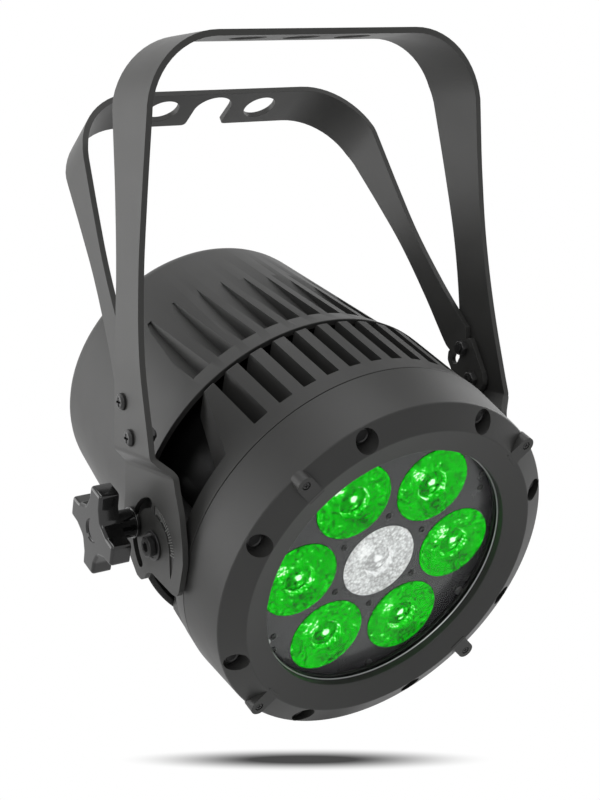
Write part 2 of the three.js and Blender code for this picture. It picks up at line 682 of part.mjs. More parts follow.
function fanFrame() {
  const front = FIN_BACK - SEAT;
  let body = block(-40, 40, front - 20, front, -40, 40);
  body = cut(body, axial(38, front - 22, front + 1, 0, 0, 32));
  body = body.add(axial(15, front - 20, front - 18, 0, 0, 20));
  for (const turn of [0, 90]) {
    const bar = new THREE.BoxGeometry(78, 2, 4);
    bar.translate(0, -(front - 19), 0);
    bar.rotateY((turn + 45) * RAD);
    body = body.add(solid(bar));
  }
  return body;
}

function fanRotor() {
  const front = FIN_BACK - SEAT - 1;
  let body = axial(15, front - 16.4, front, 0, 0, 21);
  for (let i = 0; i < 7; i += 1) {
    const blade = new THREE.BoxGeometry(23.5, 12.5, 1.6);
    blade.rotateX(38 * RAD);
    blade.translate(25, -(front - 8.5), 0);
    blade.rotateY((i / 7) * 2 * Math.PI);
    body = body.add(solid(blade));
  }
  return body;
}

function powerSupply() {
  const rail = Math.sqrt(COVER_IN_R ** 2 - 33 ** 2) - 0.9;
  return join(block(-50, 50, -104, -58, -30, 18), block(-rail, rail, -104, -64, -33, -30));
}

function driverBoard() {
  let body = block(-46, 46, PANEL_FRONT + 12.9, PANEL_FRONT + 14.5, -4, 50);
  for (const [x, z] of [[-40, 1], [40, 1], [-38, 44], [38, 44]]) {
    body = body.add(axial(3, PANEL_FRONT + SEAT, PANEL_FRONT + 13.5, x, z, 8));
  }
  return body;
}

function addInside(group) {
  addPart(group, 'heat_sink', heatSink(), 'black', HEAD_TURN);
  addPart(group, 'led_board', ledBoard(), 'board', HEAD_TURN);
  addPart(group, 'lens_carriage', lensCarriage(), 'plastic', HEAD_TURN);
  lensPlaces().forEach((place, i) => {
    const [name, look] = i ? [`lens_${i}`, 'lens_green'] : ['lens_middle', 'lens_white'];
    addPart(group, name, lens(place), look, HEAD_TURN);
  });
  ROD_ANGLES.forEach((angle, i) => {
    const rod = axial(ROD_R, SINK_FRONT + SEAT, LENS_FRONT, ...onRing(ROD_RING, angle));
    addPart(group, `guide_rod_${i + 1}`, rod, 'steel', HEAD_TURN);
  });
  addPart(group, 'zoom_motor', zoomMotor(), 'alloy', HEAD_TURN);
  const screw = axial(ROD_R, 21.6 + SEAT, LENS_FRONT, ...onRing(ROD_RING, SCREW_ANGLE));
  addPart(group, 'lead_screw', screw, 'steel', HEAD_TURN);
  addPart(group, 'fan_frame', fanFrame(), 'plastic', HEAD_TURN);
  addPart(group, 'fan_rotor', fanRotor(), 'plastic', HEAD_TURN);
  addPart(group, 'power_supply', powerSupply(), 'alloy', HEAD_TURN);
  addPart(group, 'driver_board', driverBoard(), 'board', HEAD_TURN);
}

// ---------------------------------------------------------------- rear panel

function rearPanel() {
  let body = axial(PANEL_R, PANEL_BACK, PANEL_FRONT, 0, 0, ROUND);
  for (const x of BUTTONS_X) {
    body = cut(body, axial(BUTTON_R + GAP, PANEL_BACK - 1, PANEL_FRONT + 1, x, BUTTON_Z));
  }
  for (const place of Object.values(CONNECTORS)) {
    body = cut(body, axial(11 + GAP, PANEL_BACK - 1, PANEL_FRONT + 1, ...place));
  }
  body = cut(body, axial(6 + GAP, PANEL_BACK - 1, PANEL_FRONT + 1, ...FUSE_XZ));
  return cut(body, block(-28.3, 28.3, PANEL_BACK - 1, PANEL_FRONT + 1, 26.7, 47.3));
}

function button(x) {
  return join(
    axial(BUTTON_R, PANEL_BACK - 1.8, PANEL_FRONT + 1, x, BUTTON_Z),
    axial(BUTTON_R + 1.4, PANEL_FRONT + SEAT, PANEL_FRONT + 1.2, x, BUTTON_Z),
  );
}

function displayWindow() {
  return block(-28, 28, PANEL_BACK - 0.6, PANEL_FRONT, 27, 47);
}

// A round chassis connector: square flange, barrel through the panel, open mouth with a core.
function connector([x, z], mouth, core) {
  const body = join(
    block(x - 13, x + 13, PANEL_BACK - 2.6, PANEL_BACK - SEAT, z - 13, z + 13),
    axial(11, PANEL_BACK - 4.6, PANEL_FRONT + 14, x, z),
  );
  const hollow = axial(mouth, PANEL_BACK - 6, PANEL_FRONT + 8.5, x, z);
  return cut(body, hollow).add(axial(core, PANEL_BACK - 3, PANEL_FRONT + 10.5, x, z, 8));
}

function fuseHolder([x, z]) {
  return join(axial(8, PANEL_BACK - 5, PANEL_BACK - SEAT, x, z),
    axial(6, PANEL_BACK - 1, PANEL_FRONT + 10.5, x, z));
}

// The eye for a safety cable: a foot on the panel and a ring standing out of it.
function safetyEye([x, z]) {
  const foot = block(x - 9, x + 9, PANEL_BACK - 2.5, PANEL_BACK - SEAT, z - 4, z + 4);
  const ring = join(
    block(x - 8, x + 8, PANEL_BACK - 9, PANEL_BACK - 2, z - 2, z + 2),
    upright(8, z - 2, z + 2, x, -(PANEL_BACK - 9), 20),
  );
  return cut(foot.add(ring), upright(5, z - 6, z + 6, x, -(PANEL_BACK - 9), 20));
}

function addRearFittings(group) {
  addPart(group, 'rear_panel', rearPanel(), 'paint', HEAD_TURN);
  addPart(group, 'display_window', displayWindow(), 'gloss', HEAD_TURN);
  BUTTONS_X.forEach((x, i) => addPart(group, `button_${i + 1}`, button(x), 'plastic', HEAD_TURN));
  for (const [name, place] of Object.entries(CONNECTORS)) {
    const power = name.startsWith('power');
    addPart(group, name, connector(place, power ? 8.5 : 8.2, power ? 4 : 2.5), 'plastic', HEAD_TURN);
  }
  addPart(group, 'fuse_holder', fuseHolder(FUSE_XZ), 'plastic', HEAD_TURN);
  addPart(group, 'safety_eye', safetyEye(EYE_XZ), 'steel', HEAD_TURN);
}

const light = new THREE.Group();
light.name = 'par_can_light';
addYokes(light);
addPivots(light);
addShells(light);
addInside(light);
addRearFittings(light);

export default light;
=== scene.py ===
"""Par can light on a double yoke: seven lenses behind a round window, hung nose down."""

import json
import math

import bmesh
import bpy
from mathutils import Matrix, Vector


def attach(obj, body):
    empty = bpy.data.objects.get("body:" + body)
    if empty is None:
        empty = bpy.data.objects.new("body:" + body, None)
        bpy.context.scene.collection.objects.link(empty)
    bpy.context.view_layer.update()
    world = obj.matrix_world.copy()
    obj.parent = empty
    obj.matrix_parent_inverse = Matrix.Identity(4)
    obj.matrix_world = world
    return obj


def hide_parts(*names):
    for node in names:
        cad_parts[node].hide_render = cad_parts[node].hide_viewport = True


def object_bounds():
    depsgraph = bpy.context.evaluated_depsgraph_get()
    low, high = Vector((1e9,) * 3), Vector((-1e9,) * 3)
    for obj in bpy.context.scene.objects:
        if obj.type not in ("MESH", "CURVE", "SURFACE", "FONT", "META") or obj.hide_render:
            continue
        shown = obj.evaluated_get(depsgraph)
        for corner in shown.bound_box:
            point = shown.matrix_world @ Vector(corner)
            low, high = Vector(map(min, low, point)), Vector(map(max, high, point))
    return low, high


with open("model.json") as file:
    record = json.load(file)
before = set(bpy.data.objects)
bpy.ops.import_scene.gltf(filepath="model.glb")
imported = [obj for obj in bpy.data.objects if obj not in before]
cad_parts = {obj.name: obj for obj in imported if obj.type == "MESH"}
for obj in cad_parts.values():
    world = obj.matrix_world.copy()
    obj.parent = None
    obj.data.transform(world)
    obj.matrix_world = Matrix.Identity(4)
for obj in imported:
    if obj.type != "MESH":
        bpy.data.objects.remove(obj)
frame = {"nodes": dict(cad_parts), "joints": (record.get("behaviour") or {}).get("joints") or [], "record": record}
cad_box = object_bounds()

# ---------------------------------------------------------------- places

MM = 0.001
JOINTS = {joint["name"]: joint for joint in frame["joints"]}
PIVOT = Vector(JOINTS["head_tilt"]["pos_m"])
HINGE = Vector(JOINTS["rear_yoke_fold"]["pos_m"])
BEAM = Vector(JOINTS["zoom_slide"]["axis"])
TILT = math.atan2(-BEAM.z, -BEAM.y)
FOLD = math.radians(31.9)  # how far the rear yoke leans back
STUD = Vector(JOINTS["tilt_knob_left_turn"]["pos_m"]) - PIVOT
STUD.x = 0

SCALE = Matrix.Scale(MM, 4)
YOKE = Matrix.Translation(PIVOT) @ SCALE
HEAD = Matrix.Translation(PIVOT) @ Matrix.Rotation(TILT, 4, "X") @ SCALE
REAR = Matrix.Translation(HINGE) @ Matrix.Rotation(-FOLD, 4, "X") @ SCALE
KNOB = Matrix.Translation(PIVOT + STUD) @ SCALE
SIDES = {"left": -1, "right": 1}  # which way along X each side lies


# ---------------------------------------------------------------- camera, light and floor

CAMERA_ANGLES = (-31.886, 10.71, -3.04)  # round, up and roll, in degrees
CAMERA_AWAY = 0.80363  # metres from the tilt pivot
CAMERA_SHIFT = (-0.01521, 0.05997)  # metres sideways and up
CAMERA_SENSOR = 36
CAMERA_LENS = 64.84275


def set_camera():
    """Looks at the light from its left front, a little above."""
    azimuth, elevation, roll = (math.radians(angle) for angle in CAMERA_ANGLES)
    shift_x, shift_y = CAMERA_SHIFT
    right = Vector((math.cos(azimuth), math.sin(azimuth), 0))
    back = Vector((math.sin(azimuth) * math.cos(elevation),
                   -math.cos(azimuth) * math.cos(elevation), math.sin(elevation)))
    up = back.cross(right)
    side = math.cos(roll) * right + math.sin(roll) * up
    top = -math.sin(roll) * right + math.cos(roll) * up
    camera = bpy.data.objects.new("camera", bpy.data.cameras.new("camera"))
    bpy.context.scene.collection.objects.link(camera)
    camera.data.sensor_fit = "VERTICAL"
    camera.data.sensor_height = CAMERA_SENSOR
    camera.data.lens = CAMERA_LENS
    camera.data.clip_start = 0.01
    turn = Matrix((side, top, back)).transposed().to_4x4()
    camera.matrix_world = Matrix.Translation(
        PIVOT + back * CAMERA_AWAY + side * shift_x + top * shift_y) @ turn
    bpy.context.scene.camera = camera


set_camera()


def node(tree, kind, **values):
    made = tree.nodes.new("ShaderNode" + kind)
    for key, value in values.items():
        setattr(made, key, value)
    return made


def link(source, target):
    source.id_data.links.new(source, target)


def fill(made, **values):
    """Sets a node's inputs. A name's underscores stand for spaces."""
    for key, value in values.items():
        made.inputs[key.replace("_", " ")].default_value = value


def show_instead(tree, lit, shown):
    """Lights the object by one shader, and shows the other to the camera, mirrors and glass."""
    path = node(tree, "LightPath")
    either = node(tree, "Math", operation="MAXIMUM")
    link(path.outputs["Is Camera Ray"], either.inputs[0])
    link(path.outputs["Is Glossy Ray"], either.inputs[1])
    any_ray = node(tree, "Math", operation="MAXIMUM")
    link(either.outputs[0], any_ray.inputs[0])
    link(path.outputs["Is Transmission Ray"], any_ray.inputs[1])
    mix = node(tree, "MixShader")
    link(any_ray.outputs[0], mix.inputs[0])
    link(lit, mix.inputs[1])
    link(shown, mix.inputs[2])
    return mix.outputs[0]


SOFT_LIGHT = 0.3


def set_world():
    world = bpy.data.worlds.new("studio")
    bpy.context.scene.world = world
    world.use_nodes = True
    tree = world.node_tree
    tree.nodes.clear()
    soft = node(tree, "Background")
    fill(soft, Color=(1, 1, 1, 1), Strength=SOFT_LIGHT)
    white = node(tree, "Background")
    fill(white, Color=(1, 1, 1, 1), Strength=1)
    out = node(tree, "OutputWorld")
    link(show_instead(tree, soft.outputs[0], white.outputs[0]), out.inputs["Surface"])


LAMP_AIM = Vector((0, 0, -0.22))


def add_lamp(name, place, size, power):
    """A soft square lamp aimed at the middle of the light."""
    data = bpy.data.lights.new(name, "AREA")
    data.shape = "RECTANGLE"
    data.size, data.size_y = size
    data.energy = power
    lamp = bpy.data.objects.new(name, data)
    lamp.visible_camera = False
    bpy.context.scene.collection.objects.link(lamp)
    turn = (LAMP_AIM - Vector(place)).to_track_quat("-Z", "Y").to_matrix().to_4x4()
    lamp.matrix_world = Matrix.Translation(place) @ turn


FLOOR_DROP = 0.035  # metres under the light
FLOOR_MIDDLE = (-0.0151, 0.0137)  # where the painted shadow lies
FLOOR_TURN = -38.9  # its long way, in degrees
FLOOR_SHADE_IN = 0.015  # fading starts
FLOOR_SHADE_OUT = 0.112  # fading ends
FLOOR_SHADE_NARROW = 7.0  # how much narrower than long
FLOOR_DARKEST = 0.7  # open sky at which the shade is full
FLOOR_SHADE = 0.07  # brightness of the full painted shadow
FLOOR_REACH = 0.13  # how far up the light still shades it
FLOOR_COLOR = (0.8, 0.8, 0.8, 1)
FLOOR_HALF = 6


def floor_with_painted_shadow():
    """Pale paint that shows the camera a painted shadow near the light, a glow darkened by ambient occlusion, and
    fades to plain white further out.
    """
    paint = bpy.data.materials.new("pale_floor")
    paint.use_nodes = True
    tree = paint.node_tree
    shader = tree.nodes["Principled BSDF"]
    fill(shader, Base_Color=FLOOR_COLOR, Roughness=1, Specular_IOR_Level=0)
    where = node(tree, "TexCoord")
    oval = node(tree, "Mapping")
    fill(oval, Scale=(1.0, FLOOR_SHADE_NARROW, 1.0))
    link(where.outputs["Object"], oval.inputs["Vector"])
    away = node(tree, "VectorMath", operation="LENGTH")
    link(oval.outputs[0], away.inputs[0])
    fade = node(tree, "MapRange", interpolation_type="SMOOTHSTEP")
    fill(fade, From_Min=FLOOR_SHADE_IN, From_Max=FLOOR_SHADE_OUT)
    link(away.outputs["Value"], fade.inputs["Value"])
    # Painted shadow: ambient occlusion darkens the glow the camera sees, inside an oval round FLOOR_MIDDLE.
    under = node(tree, "AmbientOcclusion")
    under.samples = 32
    fill(under, Distance=FLOOR_REACH)
    near = node(tree, "MapRange")
    fill(near, From_Min=FLOOR_DARKEST, From_Max=1.0, To_Min=FLOOR_SHADE)
    link(under.outputs["AO"], near.inputs["Value"])
    light = node(tree, "Math", operation="MAXIMUM")
    link(near.outputs[0], light.inputs[0])
    link(fade.outputs[0], light.inputs[1])
    glow = node(tree, "Emission")
    link(light.outputs[0], glow.inputs["Strength"])
    link(show_instead(tree, shader.outputs[0], glow.outputs[0]),
         tree.nodes["Material Output"].inputs["Surface"])
    return paint


def add_floor():
    """A wide pale floor a little under the hanging light."""
    shape = bmesh.new()
    bmesh.ops.create_grid(shape, x_segments=2, y_segments=2, size=FLOOR_HALF)
    mesh = bpy.data.meshes.new("floor")
    shape.to_mesh(mesh)
    shape.free()
    floor = bpy.data.objects.new("floor", mesh)
    floor.location = (*FLOOR_MIDDLE, cad_box[0][2] - FLOOR_DROP)
    floor.rotation_euler.z = math.radians(FLOOR_TURN)
    bpy.context.scene.collection.objects.link(floor)
    mesh.materials.append(floor_with_painted_shadow())


set_world()
add_lamp("key", (-1.0, -0.8, 0.7), (0.8, 0.8), 5.5)
add_lamp("rim_left", (-0.85, 0.7, -0.05), (0.7, 1.1), 7)
add_lamp("rim_right", (1.0, 0.1, -0.1), (0.5, 1.1), 6)
add_lamp("top", (0.0, 0.15, 1.1), (0.9, 0.9), 7)
add_floor()


# ---------------------------------------------------------------- finishes

MOTTLE_SCALE = 55
GRAIN_DEPTH = 0.08 * MM


def finish(name, color, rough, metal=0.0, grain=0.0, grain_size=0.4, mottle=0.12,
           rough_spread=0.06, shine=0.5):
    """A finish with a fine grain (its size in millimetres), some mottling and uneven gloss."""
    made = bpy.data.materials.new(name)
    made.use_nodes = True
    tree = made.node_tree
    shader = tree.nodes["Principled BSDF"]
    fill(shader, Metallic=metal, Specular_IOR_Level=shine)
    where = node(tree, "TexCoord")
    cloud = node(tree, "TexNoise")
    fill(cloud, Scale=MOTTLE_SCALE, Detail=6)
    link(where.outputs["Object"], cloud.inputs["Vector"])
    tone = node(tree, "MapRange")
    fill(tone, To_Min=1 - mottle, To_Max=1 + mottle)
    link(cloud.outputs["Fac"], tone.inputs["Value"])
    shade = node(tree, "VectorMath", operation="SCALE")
    shade.inputs[0].default_value = color
    link(tone.outputs[0], shade.inputs["Scale"])
    link(shade.outputs[0], shader.inputs["Base Color"])
    gloss = node(tree, "MapRange")
    fill(gloss, To_Min=rough - rough_spread, To_Max=rough + rough_spread)
    link(cloud.outputs["Fac"], gloss.inputs["Value"])
    link(gloss.outputs[0], shader.inputs["Roughness"])
    if grain:
        fine = node(tree, "TexNoise")
        fill(fine, Scale=0.5 / (grain_size * MM), Detail=3)
        link(where.outputs["Object"], fine.inputs["Vector"])
        bump = node(tree, "Bump")
        fill(bump, Strength=grain, Distance=GRAIN_DEPTH)
        link(fine.outputs["Fac"], bump.inputs["Height"])
        link(bump.outputs[0], shader.inputs["Normal"])
    return made


YOKE_COAT = finish("yoke_powder_coat", (0.04, 0.04, 0.0385), 0.42,
                   grain=0.3, grain_size=0.5, shine=0.3)
SCALE_PAINT = finish("scale_paint", (0.14, 0.14, 0.137), 0.45, shine=0.3)
SHELL_COAT = finish("shell_powder_coat", (0.034, 0.034, 0.033), 0.45,
                    grain=0.3, grain_size=0.5, shine=0.3)
BLACK_CAST = finish("black_casting", (0.005, 0.005, 0.005), 0.42,
                    grain=0.4, grain_size=0.7, shine=0.2)
BLACK_STEEL = finish("black_screw_steel", (0.012, 0.012, 0.012), 0.35, shine=0.4)
BRIGHT_STEEL = finish("zinc_steel", (0.4, 0.4, 0.4), 0.32, metal=0.9, grain=0.2)
GLOSS_BLACK = finish("gloss_black_plastic", (0.004, 0.004, 0.004), 0.1,
                     mottle=0.05, rough_spread=0.02)
MATT_BLACK = finish("matt_black_plastic", (0.012, 0.012, 0.0125), 0.5, grain=0.3, shine=0.35)
PLATE_GREY = finish("lens_plate_plastic", (0.024, 0.0225, 0.025), 0.22,
                    mottle=0.3, rough_spread=0.1, shine=0.5)
ALLOY = finish("plain_alloy", (0.35, 0.35, 0.36), 0.42, metal=0.85, grain=0.2)
DARK_ZINC = finish("dark_zinc_steel", (0.06, 0.06, 0.06), 0.38, metal=0.7)
BOARD = finish("white_board", (0.7, 0.71, 0.7), 0.5)


def glass_finish():
    made = bpy.data.materials.new("window_glass")
    made.use_nodes = True
    tree = made.node_tree
    shader = tree.nodes["Principled BSDF"]
    fill(shader, Base_Color=(0.98, 1.0, 0.99, 1), Roughness=0.02, Transmission_Weight=1, IOR=1.1)
    path = node(tree, "LightPath")
    clear = node(tree, "BsdfTransparent")
    mix = node(tree, "MixShader")
    link(path.outputs["Is Shadow Ray"], mix.inputs[0])
    link(shader.outputs[0], mix.inputs[1])
    link(clear.outputs[0], mix.inputs[2])
    link(mix.outputs[0], tree.nodes["Material Output"].inputs["Surface"])
    return made


WINDOW_GLASS = glass_finish()


def spot_light(tree, where, middle, inner, outer, level):
    """A soft round patch at a place on the lens face, for its glowing face and for each painted highlight and
    shade.
    """
    shift = node(tree, "VectorMath", operation="SUBTRACT")
    shift.inputs[1].default_value = (*middle, 0)
    link(where, shift.inputs[0])
    away = node(tree, "VectorMath", operation="LENGTH")
    link(shift.outputs[0], away.inputs[0])
    patch = node(tree, "MapRange", interpolation_type="SMOOTHSTEP")
    fill(patch, From_Min=outer, From_Max=inner, To_Max=level)
    link(away.outputs["Value"], patch.inputs["Value"])
    return patch.outputs[0]


def add_up(tree, first, second):
    total = node(tree, "Math", operation="ADD")
    link(first, total.inputs[0])
    link(second, total.inputs[1])
    return total.outputs[0]


LENS_PAINTED_LIGHT_AND_SHADE = (  # painted highlights, glints and shade: middle, inner and outer edge, strength
    ((0.50, 0.50), 0.200, 0.215, 0.30),  # painted highlight on the lip of the cup
    ((0.50, 0.50), 0.175, 0.195, -0.48),  # painted shade inside it
    ((0.49, 0.53), 0.015, 0.075, 0.95),  # painted glint at the light source
    ((0.54, 0.42), 0.020, 0.070, 0.50),  # painted reflection of a lamp, below the glint
    # painted highlight beside the glint
    ((0.57, 0.55), 0.030, 0.110, 0.22),
    ((0.24, 0.70), 0.020, 0.180, 0.42),  # painted highlight on the shoulder
    ((0.62, 0.20), 0.050, 0.300, -0.16),  # painted shade at the foot
    ((0.50, 0.50), 0.470, 0.500, -0.10),  # painted shade round the rim
    # painted highlight line on the rim
    ((0.50, 0.50), 0.480, 0.490, 0.10),
)
LENS_MIX = 0.72  # where the plain green lies between deep and hot
LENS_EDGE = (0.8, 0.9)  # beyond this the lens gives no light


SPECKLE_SCALE, CLOUD_SCALE = 560, 330


def lens_finish(name, deep, bright, core, glow, base):
    """A lit lens: fine speckle, cloudy brighter and darker patches, a painted glint at its middle with painted
    highlights and shade round it, an unlit back.
    """
    made = bpy.data.materials.new(name)
    made.use_nodes = True
    tree = made.node_tree
    shader = tree.nodes["Principled BSDF"]
    fill(shader, Base_Color=(*base, 1), Roughness=0.1, Specular_IOR_Level=0.03)
    where = node(tree, "TexCoord")
    face = where.outputs["UV"]
    lit = spot_light(tree, face, (0.5, 0.5), *LENS_EDGE, glow)
    link(lit, shader.inputs["Emission Strength"])
    cells = node(tree, "TexVoronoi")
    fill(cells, Scale=SPECKLE_SCALE)
    link(where.outputs["Object"], cells.inputs["Vector"])
    cloud = node(tree, "TexNoise")
    fill(cloud, Scale=CLOUD_SCALE, Detail=10, Roughness=0.8)
    link(where.outputs["Object"], cloud.inputs["Vector"])
    level = None
    speckle = (cells.outputs["Distance"], 0.0, 0.8, 0.26, -0.26)
    clouds = (cloud.outputs["Fac"], 0.38, 0.62, 0.16, 0.74)
    for source, low, high, darkest, lightest in (speckle, clouds):
        part = node(tree, "MapRange")
        fill(part, From_Min=low, From_Max=high, To_Min=darkest, To_Max=lightest)
        link(source, part.inputs["Value"])
        level = add_up(tree, level, part.outputs[0]) if level else part.outputs[0]
    # Painted highlights, glints and shade on the lens face.
    for middle, inner, outer, strength in LENS_PAINTED_LIGHT_AND_SHADE:
        level = add_up(tree, level, spot_light(tree, face, middle, inner, outer, strength))
    ramp = node(tree, "ValToRGB")
    steps = ramp.color_ramp.elements
    steps[0].position, steps[0].color = 0.0, (*deep, 1)
    # core colours the brightest painted glints.
    steps[1].position, steps[1].color = 1.0, (*core, 1)
    steps.new(LENS_MIX).color = (*bright, 1)
    link(level, ramp.inputs["Fac"])
    link(ramp.outputs["Color"], shader.inputs["Emission Color"])
    bump = node(tree, "Bump")
    fill(bump, Strength=0.2, Distance=0.2 * MM)
    link(cells.outputs["Distance"], bump.inputs["Height"])
    link(bump.outputs[0], shader.inputs["Normal"])
    return made


LENS_GREEN = lens_finish("lit_green_lens", deep=(0.0, 0.06, 0.0), bright=(0.0, 0.78, 0.001),
                         core=(0.8, 1.0, 0.8), glow=1.0, base=(0.0, 0.01, 0.0))
LENS_WHITE = lens_finish("pale_lens", deep=(0.3, 0.3, 0.3), bright=(0.86, 0.87, 0.87),
                         core=(1.0, 1.0, 1.0), glow=0.9, base=(0.1, 0.1, 0.1))


# ---------------------------------------------------------------- shaping

MERGE = 1e-4  # corners that meet, in millimetres
WELD = 0.12  # slivers left by cutting
STRAP_WELD = 0.4


def soften(points, steps=4):
    """Rounds the corners of a closed outline. Each point is (u, v) or (u, v, radius)."""
    smooth = []
    count = len(points)
    for i, point in enumerate(points):
        here = Vector(point[:2])
        radius = point[2] if len(point) > 2 else 0
        if not radius:
            smooth.append(tuple(here))
            continue
        before = Vector(points[i - 1][:2]) - here
        after = Vector(points[(i + 1) % count][:2]) - here
        half = before.angle(after) / 2
        reach = min(radius / math.tan(half), before.length * 0.49, after.length * 0.49)
        start = here + before.normalized() * reach
        end = here + after.normalized() * reach
        for k in range(steps + 1):
            t = k / steps
            smooth.append(tuple((1 - t) ** 2 * start + 2 * t * (1 - t) * here + t ** 2 * end))
    return smooth


def lathe(profile, place=Matrix.Identity(4), steps=48, closed=False):
    """Spins (radius, height[, corner radius]) about Z. An open profile ends on the axis."""
    shape = bmesh.new()
    line = [shape.verts.new((radius, 0, height)) for radius, height in soften(profile)]
    edges = [shape.edges.new(pair) for pair in zip(line, line[1:])]
    if closed:
        edges.append(shape.edges.new((line[-1], line[0])))
    bmesh.ops.spin(shape, geom=line + edges, axis=(0, 0, 1), cent=(0, 0, 0), angle=math.tau,
                   steps=steps, use_merge=True)
    bmesh.ops.remove_doubles(shape, verts=shape.verts, dist=MERGE)
    bmesh.ops.transform(shape, matrix=place, verts=shape.verts)
    bmesh.ops.recalc_face_normals(shape, faces=shape.faces)
    return shape


def ring(profile, steps=160):
    """A closed profile of (radius, d[, corner radius]) spun round the beam axis."""
    return lathe(profile, beamwise(0, 0, 0), steps, closed=True)


def prism(outline, depth, place=Matrix.Identity(4)):
    """A flat outline in XY, thickened along Z from 0 to depth, then moved by place."""
    shape = bmesh.new()
    face = shape.faces.new([shape.verts.new((u, v, 0)) for u, v in soften(outline)])
    grown = bmesh.ops.extrude_face_region(shape, geom=[face])
    rim = [item for item in grown["geom"] if isinstance(item, bmesh.types.BMVert)]
    bmesh.ops.translate(shape, verts=rim, vec=(0, 0, depth))
    bmesh.ops.transform(shape, matrix=place, verts=shape.verts)
    bmesh.ops.recalc_face_normals(shape, faces=shape.faces)
    return shape


def drum(radius, depth, place=Matrix.Identity(4), facets=32):
    """A cylinder along Z from 0 to depth."""
    shape = bmesh.new()
    bmesh.ops.create_cone(shape, cap_ends=True, segments=facets, radius1=radius,
                          radius2=radius, depth=depth,
                          matrix=place @ Matrix.Translation((0, 0, depth / 2)))
    bmesh.ops.recalc_face_normals(shape, faces=shape.faces)
    return shape


def brick(low, high):
    shape = bmesh.new()
    low, high = Vector(low), Vector(high)
    grow = Matrix.Diagonal((*(high - low), 1))
    bmesh.ops.create_cube(shape, size=1, matrix=Matrix.Translation((low + high) / 2) @ grow)
    return shape


def gather(*shapes):
    """Several bodies in one, as they lie."""
    total = bmesh.new()
    for shape in shapes:
        spare = bpy.data.meshes.new("spare")
        shape.to_mesh(spare)
        shape.free()
        total.from_mesh(spare)
        bpy.data.meshes.remove(spare)
    return total


def combine(body, tool, mode="DIFFERENCE"):
    """The body less the tool, or with it, or what they share."""
    items = []
    for shape in (body, tool):
        mesh = bpy.data.meshes.new("spare")
        shape.to_mesh(mesh)
        shape.free()
        item = bpy.data.objects.new("spare", mesh)
        bpy.context.scene.collection.objects.link(item)
        items.append(item)
    step = items[0].modifiers.new("step", "BOOLEAN")
    step.object = items[1]
    step.operation = mode
    step.solver = "MANIFOLD"
    bpy.context.view_layer.update()
    finished = items[0].evaluated_get(bpy.context.evaluated_depsgraph_get())
    made = bpy.data.meshes.new_from_object(finished)
    result = bmesh.new()
    result.from_mesh(made)
    bpy.data.meshes.remove(made)
    for item in items:
        mesh = item.data
        bpy.data.objects.remove(item)
        bpy.data.meshes.remove(mesh)
    return result


def tidy_flats(shape, angle=0.6):
    """Welds slivers and merges faces that lie in one plane."""
    bmesh.ops.remove_doubles(shape, verts=shape.verts, dist=WELD)
    bmesh.ops.dissolve_limit(shape, angle_limit=math.radians(angle), verts=shape.verts,
                             edges=shape.edges)
    return shape


def piece(name, shape, place, coat, body, nodes=(), smooth=32, bevel=0.0,
          segments=2):
    """Turns a shape in millimetres into a finished piece that rides on a body."""
    mesh = bpy.data.meshes.new(name)
    shape.to_mesh(mesh)
    shape.free()
    mesh.transform(place)
    mesh.shade_smooth()
    mesh.set_sharp_from_angle(angle=math.radians(smooth))
    mesh.materials.append(coat)
    made = bpy.data.objects.new(name, mesh)
    bpy.context.scene.collection.objects.link(made)
    if bevel:
        edge = made.modifiers.new("rounded_edges", "BEVEL")
        edge.width = bevel * MM
        edge.segments = segments
        edge.limit_method = "ANGLE"
        edge.angle_limit = math.radians(smooth)
        edge.use_clamp_overlap = True
        edge.miter_outer = "MITER_ARC"
        even = made.modifiers.new("even_shading", "WEIGHTED_NORMAL")
        even.keep_sharp = True
    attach(made, body)
    if nodes:
        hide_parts(*nodes)
    return made


def curve_through(table, at):
    """A smooth reading of a table of (where, value...) rows."""
    rows = sorted(table)
    at = min(max(at, rows[0][0]), rows[-1][0])
    i = max(k for k in range(len(rows) - 1) if rows[k][0] <= at)
    p0, p1, p2, p3 = (rows[min(max(k, 0), len(rows) - 1)] for k in (i - 1, i, i + 1, i + 2))
    span = p2[0] - p1[0]
    t = (at - p1[0]) / span
    values = []
    for k in range(1, len(p1)):
        m1 = (p2[k] - p0[k]) / (p2[0] - p0[0]) * span
        m2 = (p3[k] - p1[k]) / (p3[0] - p1[0]) * span
        values.append((2 * t**3 - 3 * t**2 + 1) * p1[k] + (t**3 - 2 * t**2 + t) * m1
                      + (3 * t**2 - 2 * t**3) * p2[k] + (t**3 - t**2) * m2)
    return values


def on_ring(radius, degrees):
    """A place round a circle."""
    angle = math.radians(degrees)
    return radius * math.cos(angle), radius * math.sin(angle)


def facing(side):
    """Turns Z to point out along X on one side, with X to the back and Y up."""
    return Matrix(((0, 0, side, 0), (1, 0, 0, 0), (0, 1, 0, 0), (0, 0, 0, 1)))


def outward(side, x, y=0.0, z=0.0):
    """The same, from a place on that side."""
    return Matrix.Translation((side * x, y, z)) @ facing(side)


def beamwise(x, d, z):
    """Turns Z to point along the beam, at a place in the head."""
    return Matrix.Translation((x, -d, z)) @ Matrix.Rotation(math.pi / 2, 4, "X")


# ---------------------------------------------------------------- yokes

STRAP = 3.2  # thickness of both yokes
STRAP_HALF = 20  # half the front bar's width
M5_HOLE, M6_HOLE = 2.8, 3.3
BAR_HOLE = 10
BAR_HOLES = 32.5  # how far each side hole lies from the middle one
BAR_HALF, BAR_BEND, LEG_LEAN = 60.65, 43, 4.4
TOP = 258.5
YOKE_BACK = 2.4
PLATE_OUT, PLATE_FOOT = 108.0, -26
LEG_TOP, LEG_FOOT = 219, 49.5
LEG = [(LEG_TOP, 103.5, -17.6, 20.8), (180, 107.0, -13.2, 17.2), (140, 110.8, -10.5, 15.1),
       (100, 114.2, -11.8, 16.7), (60, 115.9, -18.2, 20.6), (LEG_FOOT, 116.4, -20.2, 21.6)]
